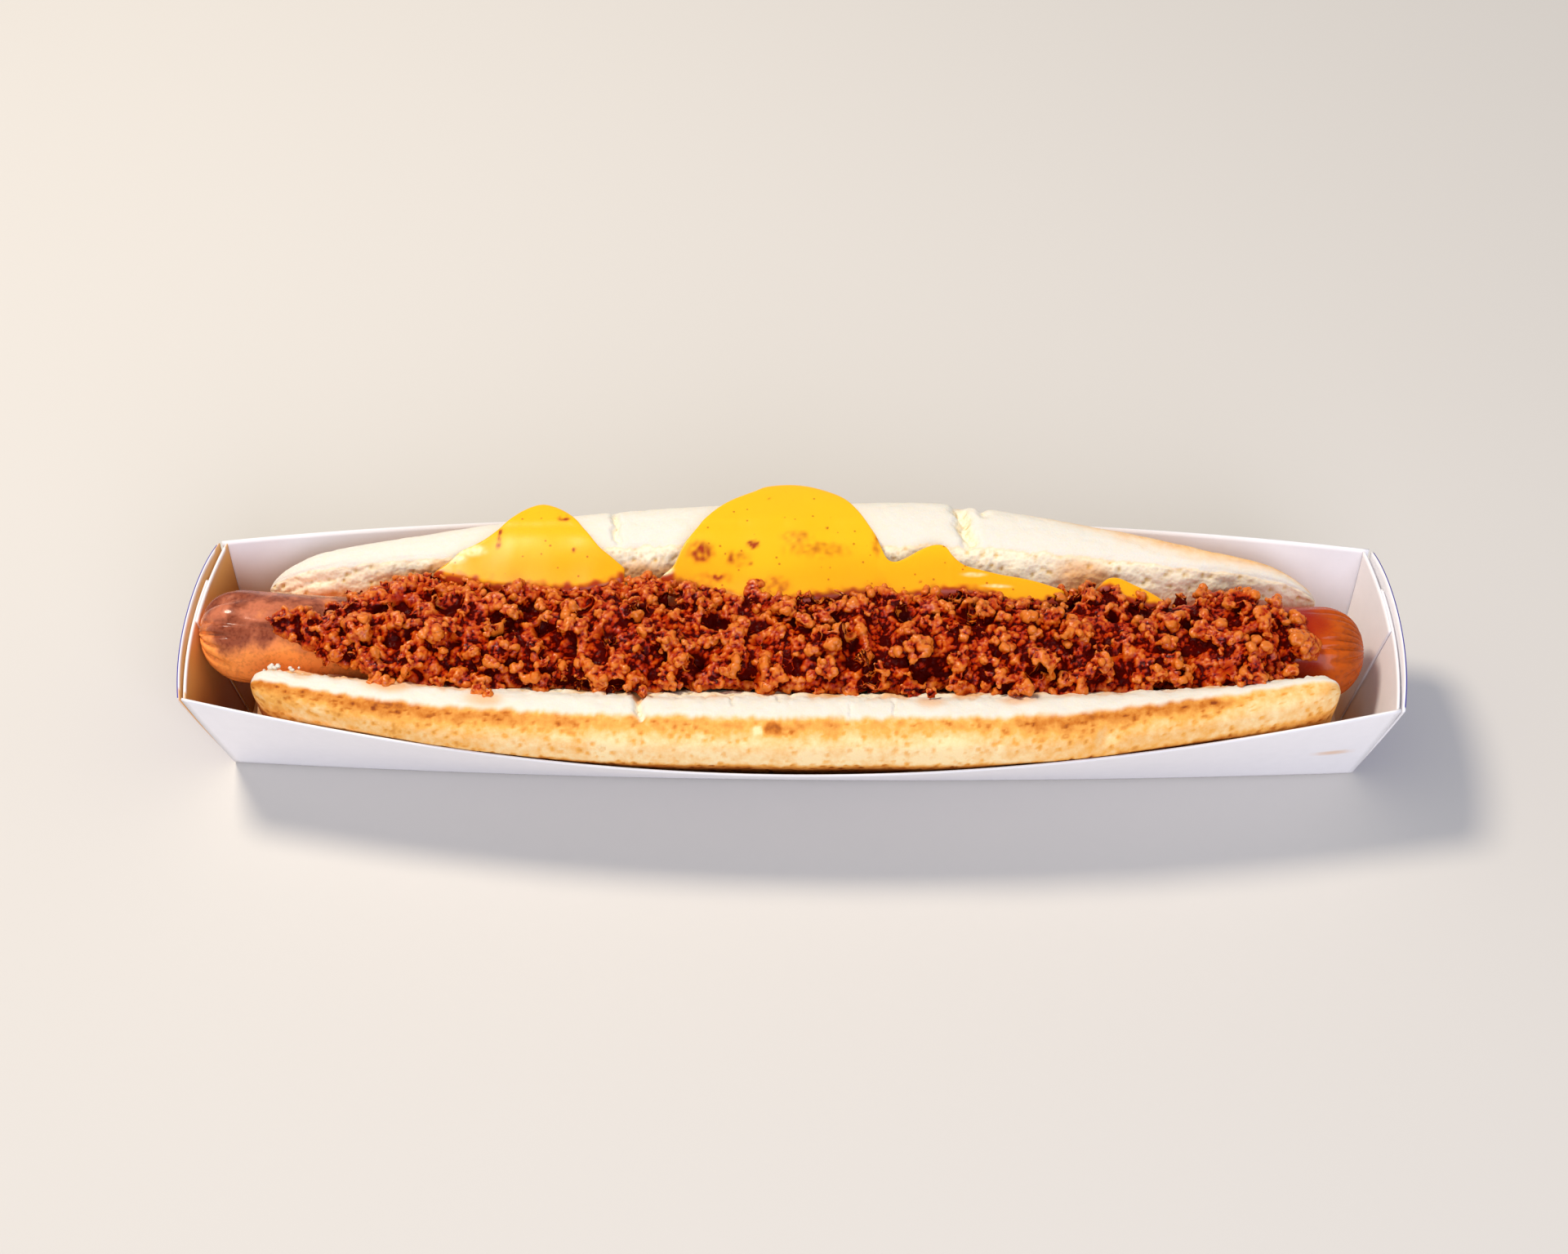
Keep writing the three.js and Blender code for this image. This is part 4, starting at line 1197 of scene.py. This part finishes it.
def chili_material(settings):
    # Ground beef simmered in a thin red gravy: fibrous crumbles under a wet film, glossier in the
    # hollows, which run darker, partly sauce and partly painted shade, while what stands out gets
    # painted light
    material, tree = new_material("simmered_beef_chili")
    place = add(tree, "ShaderNodeTexCoord", out="Object")
    fine, coarse, tint = (
        add(tree, "ShaderNodeAttribute", attribute_name=name, out="Fac")
        for name in ("fine", "coarse", "grain")
    )
    # Meat fibre is about 1 mm and its mottling about 6 mm
    grain = add(tree, "ShaderNodeTexNoise", {"Vector": place, "Scale": 1200, "Detail": 5})
    cloud = add(tree, "ShaderNodeTexNoise", {"Vector": place, "Scale": 170, "Detail": 4})
    tone = add(tree, "ShaderNodeMapRange", {
        "Value": cloud, "From Min": 0.3, "From Max": 0.7, "To Min": -0.8, "To Max": -0.28,
    })
    # Painted shade in the hollows and painted light on what stands out, at two sizes, over each
    # grain's own tint
    for part, weight in ((coarse, 1.15), (fine, 0.65), (tint, 0.36)):
        tone = add(
            tree, "ShaderNodeMath", {0: part, 1: weight, 2: tone}, operation="MULTIPLY_ADD",
        )
    colour = add(tree, "ShaderNodeValToRGB", {"Fac": tone}, stops=[
        (0.05, settings.sauce), (0.28, settings.stewed), (0.56, settings.meat), (1, settings.lit),
    ])
    bump = add(tree, "ShaderNodeBump", {"Strength": 0.55, "Distance": 0.0004, "Height": grain})
    gloss = add(tree, "ShaderNodeMapRange", {"Value": tone, "To Min": 0.08, "To Max": 0.2})
    # Only what stands out can shine, as the hollows see nothing but more chili
    shine = add(tree, "ShaderNodeMapRange", {
        "Value": coarse, "From Min": 0.2, "From Max": 0.6, "To Min": 0.04, "To Max": 0.5,
    })
    finish_material(tree, {
        "Base Color": colour, "Roughness": gloss, "IOR": 1.4, "Normal": bump,
        "Specular IOR Level": shine, "Subsurface Weight": 0.05, "Subsurface Scale": 0.002,
        "Subsurface Radius": (1.0, 0.3, 0.1),
    })
    return material


# Cheese


def melted_slice(edge, along):
    """A melted slice from under the chili to a free edge, rounded all round."""
    rows = 56
    start, end = edge[0][0], edge[-1][0]
    bm, u, v = grid(2 * rows, along)
    x = mix(start, end, (1 - np.cos(np.pi * v)) / 2 * 0.3 + v * 0.7)
    top = u <= 0.5
    b = np.where(top, 2 * u, 2 - 2 * u)
    b = 0.65 * b + 0.35 * (1 - np.cos(np.pi * b)) / 2
    high, low = edge_line(edge, x), edge_line(CHILI_RIM, x) - CHEESE_UNDER_CHILI
    low = np.minimum(low, high - 1.5)
    y = mix(low, high, b)
    inside = np.minimum(1 - b, b) * (high - low) * 1.4
    inside = np.minimum(inside, np.minimum(x - start, end - x))
    fullness = np.sqrt(1 - np.clip(1 - inside / 1.6, 0, 1) ** 2)
    under = np.maximum(bun_top(x, y) + 0.5, cheese_rest(x, y))
    # The low edge sinks into the chili
    under -= 2.6 * smoothstep(low + CHEESE_UNDER_CHILI - y, 0, CHEESE_UNDER_CHILI)
    place = np.stack([x, y, under], 1)
    thickness = CHEESE_THICKNESS * fullness * (1 + 0.15 * wobble(place, 8, 2.1))
    z = under + CHEESE_THICKNESS / 2 + np.where(top, 0.5, -0.5) * thickness
    z += 0.25 * wobble(place * (1, 1, 0), 9, 5.0) * top
    place_corners(bm, np.stack([x, y, z], 1))
    close_skin(bm)
    for _ in range(8):
        bmesh.ops.smooth_vert(
            bm, verts=bm.verts, factor=0.5, use_axis_x=False, use_axis_y=False, use_axis_z=True,
        )
    x, y, z = corners(bm).T
    from_rim = y - edge_line(CHILI_RIM, x)
    flat = np.stack([x, y, 0 * z], 1)
    stain = sum(spot(x, y, place) for place in STAINS)
    stain = stain * (0.85 + 1.7 * wobble(flat, 1.5, 8.0))
    paint(bm, "stain", np.clip(stain, 0, 1))
    paint(bm, "low", 1 - smoothstep(from_rim + 0.8 * wobble(flat, 4, 3.0), 4, 13))
    paint(bm, "seam", 1 - smoothstep(from_rim + 1.4 * wobble(flat, 2.2, 6.0), -0.8, 1.4))
    # Painted highlights: pale spots on the slices' edges
    painted_highlight = sum(spot(x, y, place) for place in PAINTED_HIGHLIGHTS)
    paint(bm, "painted_highlight", np.clip(painted_highlight * (0.9 + 0.8 * wobble(flat, 1.2, 3.0)), 0, 1))
    return bm


def make_cheese(settings):
    material = cheese_material(settings)
    left = melted_slice(LEFT_EDGE, 130)
    make_piece("cheese_slice_left", left, material, "melted_cheese", "cheese_left")
    corner = melted_slice(CORNER_EDGE, 40)
    make_piece("cheese_corner", corner, material, "melted_cheese")
    right = melted_slice(RIGHT_EDGE, 280)
    return make_piece(
        "cheese_slice_right", right, material, "melted_cheese", "cheese_middle", "cheese_right",
    )


def cheese_material(settings):
    # Melted processed cheese: dense, waxy and evenly yellow, with light passing its edges
    material, tree = new_material("melted_processed_cheese")
    place = add(tree, "ShaderNodeTexCoord", out="Object")
    cloud = add(tree, "ShaderNodeTexNoise", {"Vector": place, "Scale": 90, "Detail": 3})
    low, seam, painted_highlight, stain = (
        add(tree, "ShaderNodeAttribute", attribute_name=name, out="Fac")
        for name in ("low", "seam", "painted_highlight", "stain")
    )
    # Spice specks of about 0.6 mm, one in every few millimetres
    speck = add(tree, "ShaderNodeTexVoronoi", {"Vector": place, "Scale": 330}, out="Distance")
    speck = add(tree, "ShaderNodeMapRange", {
        "Value": speck, "From Min": 0.14, "From Max": 0.08, "To Max": 0.6,
    })
    marked = add(tree, "ShaderNodeMath", {0: stain, 1: speck}, operation="MAXIMUM")
    colour = settings.cheese
    # Low, seam and stain are the cheese's own colour, and the pale mix is a painted highlight
    for share, over in (
        (low, settings.low), (seam, settings.oily), (painted_highlight, settings.painted_highlight),
        (marked, settings.stain),
    ):
        colour = add(
            tree, "ShaderNodeMix", {0: share, 6: colour, 7: over}, data_type="RGBA", out=2,
        )
    bump = add(tree, "ShaderNodeBump", {"Strength": 0.15, "Distance": 0.0004, "Height": cloud})
    finish_material(tree, {
        "Base Color": colour, "Roughness": 0.3, "IOR": 1.45, "Normal": bump,
        "Specular IOR Level": 0.3,
        "Subsurface Weight": 0.35, "Subsurface Scale": 0.004,
        "Subsurface Radius": (1.0, 0.6, 0.1),
    })
    return material


# Stage

CAMERA_DISTANCE = 657.6
CAMERA_TARGET = (-2.78, 33.78, 0.0)
CAMERA_ELEVATION, CAMERA_YAW, CAMERA_ROLL = 48.0, 2.27, -1.22
# Focal length in pixels of the 1920-pixel-wide picture, on a 36 mm sensor
FOCAL_PIXELS, PICTURE_WIDTH, SENSOR_WIDTH = 2850.0, 1920.0, 36.0


def make_camera():
    up, yaw, roll = (math.radians(a) for a in (CAMERA_ELEVATION, CAMERA_YAW, CAMERA_ROLL))
    back = Vector((math.sin(yaw) * math.cos(up), -math.cos(yaw) * math.cos(up), math.sin(up)))
    right = Vector((0, 0, 1)).cross(back).normalized()
    above = back.cross(right)
    across = math.cos(roll) * right + math.sin(roll) * above
    above = -math.sin(roll) * right + math.cos(roll) * above
    view = Matrix((across, above, back)).transposed().to_4x4()
    view.translation = (Vector(CAMERA_TARGET) + CAMERA_DISTANCE * back) * MM
    data = bpy.data.cameras.new("camera")
    data.sensor_width = SENSOR_WIDTH
    data.lens = FOCAL_PIXELS / PICTURE_WIDTH * SENSOR_WIDTH
    camera = bpy.data.objects.new("camera", data)
    camera.matrix_world = view
    bpy.context.scene.collection.objects.link(camera)
    bpy.context.scene.camera = camera


def add_light(name, place, size, power, colour):
    data = bpy.data.lights.new(name, "AREA")
    data.shape = "DISK"
    data.size = size
    data.energy = power
    data.color = linear(colour)
    light = bpy.data.objects.new(name, data)
    light.location = place
    light.rotation_euler = (-Vector(place)).to_track_quat("-Z", "Y").to_euler()
    bpy.context.scene.collection.objects.link(light)


def make_stage(settings):
    bm = bmesh.new()
    bmesh.ops.create_circle(bm, cap_ends=True, segments=96, radius=4)
    mesh = bpy.data.meshes.new("floor")
    bm.to_mesh(mesh)
    bm.free()
    floor = bpy.data.objects.new("floor", mesh)
    material, tree = new_material("matt_studio_floor")
    finish_material(tree, {"Base Color": settings.floor, "Roughness": 0.9})
    mesh.materials.append(material)
    bpy.context.scene.collection.objects.link(floor)
    add_light("key", (-0.55, 0.3, 1.1), 0.32, settings.key, "#FFF3E0")
    add_light("fill", (0.3, -1.1, 0.7), 0.9, settings.fill, "#F0F2FF")
    world = bpy.data.worlds.new("studio")
    world.use_nodes = True
    world.node_tree.nodes["Background"].inputs["Color"].default_value = (*linear("#E8ECF4"), 1)
    world.node_tree.nodes["Background"].inputs["Strength"].default_value = 0.52
    bpy.context.scene.world = world
    bpy.context.scene.view_settings.view_transform = "Standard"
    make_camera()


# Operators and panel


class HOTDOG_OT_tray(bpy.types.Operator):
    """Folds the paper tray"""

    bl_idname = "hotdog.tray"
    bl_label = "Make tray"

    def execute(self, context):
        make_tray(context.scene.hotdog_tray)
        return {"FINISHED"}


class HOTDOG_OT_bun(bpy.types.Operator):
    """Bakes the slit bun"""

    bl_idname = "hotdog.bun"
    bl_label = "Make bun"

    def execute(self, context):
        make_bun(context.scene.hotdog_bun)
        return {"FINISHED"}


class HOTDOG_OT_sausage(bpy.types.Operator):
    """Makes the sausage"""

    bl_idname = "hotdog.sausage"
    bl_label = "Make sausage"

    def execute(self, context):
        make_sausage(context.scene.hotdog_sausage)
        return {"FINISHED"}


class HOTDOG_OT_chili(bpy.types.Operator):
    """Heaps the meat and its sauce"""

    bl_idname = "hotdog.chili"
    bl_label = "Make chili"

    def execute(self, context):
        make_chili(context.scene.hotdog_chili)
        return {"FINISHED"}


class HOTDOG_OT_cheese(bpy.types.Operator):
    """Melts the cheese slices over the bun"""

    bl_idname = "hotdog.cheese"
    bl_label = "Make cheese"

    def execute(self, context):
        make_cheese(context.scene.hotdog_cheese)
        return {"FINISHED"}


class HOTDOG_OT_stage(bpy.types.Operator):
    """Sets up the floor, lights and camera"""

    bl_idname = "hotdog.stage"
    bl_label = "Make stage"

    def execute(self, context):
        make_stage(context.scene.hotdog_stage)
        return {"FINISHED"}


SETTINGS = {
    "hotdog_tray": TraySettings,
    "hotdog_bun": BunSettings,
    "hotdog_sausage": SausageSettings,
    "hotdog_chili": ChiliSettings,
    "hotdog_cheese": CheeseSettings,
    "hotdog_stage": StageSettings,
}
OPERATORS = (
    HOTDOG_OT_tray, HOTDOG_OT_bun, HOTDOG_OT_sausage, HOTDOG_OT_chili, HOTDOG_OT_cheese,
    HOTDOG_OT_stage,
)


class HOTDOG_PT_panel(bpy.types.Panel):
    """Sizes and colours of each piece, with the button that makes it"""

    bl_idname = "HOTDOG_PT_panel"
    bl_label = "Hot Dog"
    bl_space_type = "VIEW_3D"
    bl_region_type = "UI"
    bl_category = "Hot Dog"

    def draw(self, context):
        for name, operator in zip(SETTINGS, OPERATORS):
            box = self.layout.box()
            settings = getattr(context.scene, name)
            for prop in settings.bl_rna.properties.keys()[2:]:
                box.prop(settings, prop)
            box.operator(operator.bl_idname)


def register():
    for cls in (*SETTINGS.values(), *OPERATORS, HOTDOG_PT_panel):
        bpy.utils.register_class(cls)
    for name, cls in SETTINGS.items():
        setattr(bpy.types.Scene, name, PointerProperty(type=cls))


def unregister():
    for name in SETTINGS:
        delattr(bpy.types.Scene, name)
    for cls in (HOTDOG_PT_panel, *reversed(OPERATORS), *reversed(SETTINGS.values())):
        bpy.utils.unregister_class(cls)


def main():
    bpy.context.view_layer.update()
    register()
    bpy.ops.hotdog.tray()
    bpy.ops.hotdog.bun()
    bpy.ops.hotdog.sausage()
    bpy.ops.hotdog.chili()
    bpy.ops.hotdog.cheese()
    bpy.ops.hotdog.stage()


if __name__ == "__main__":
    main()
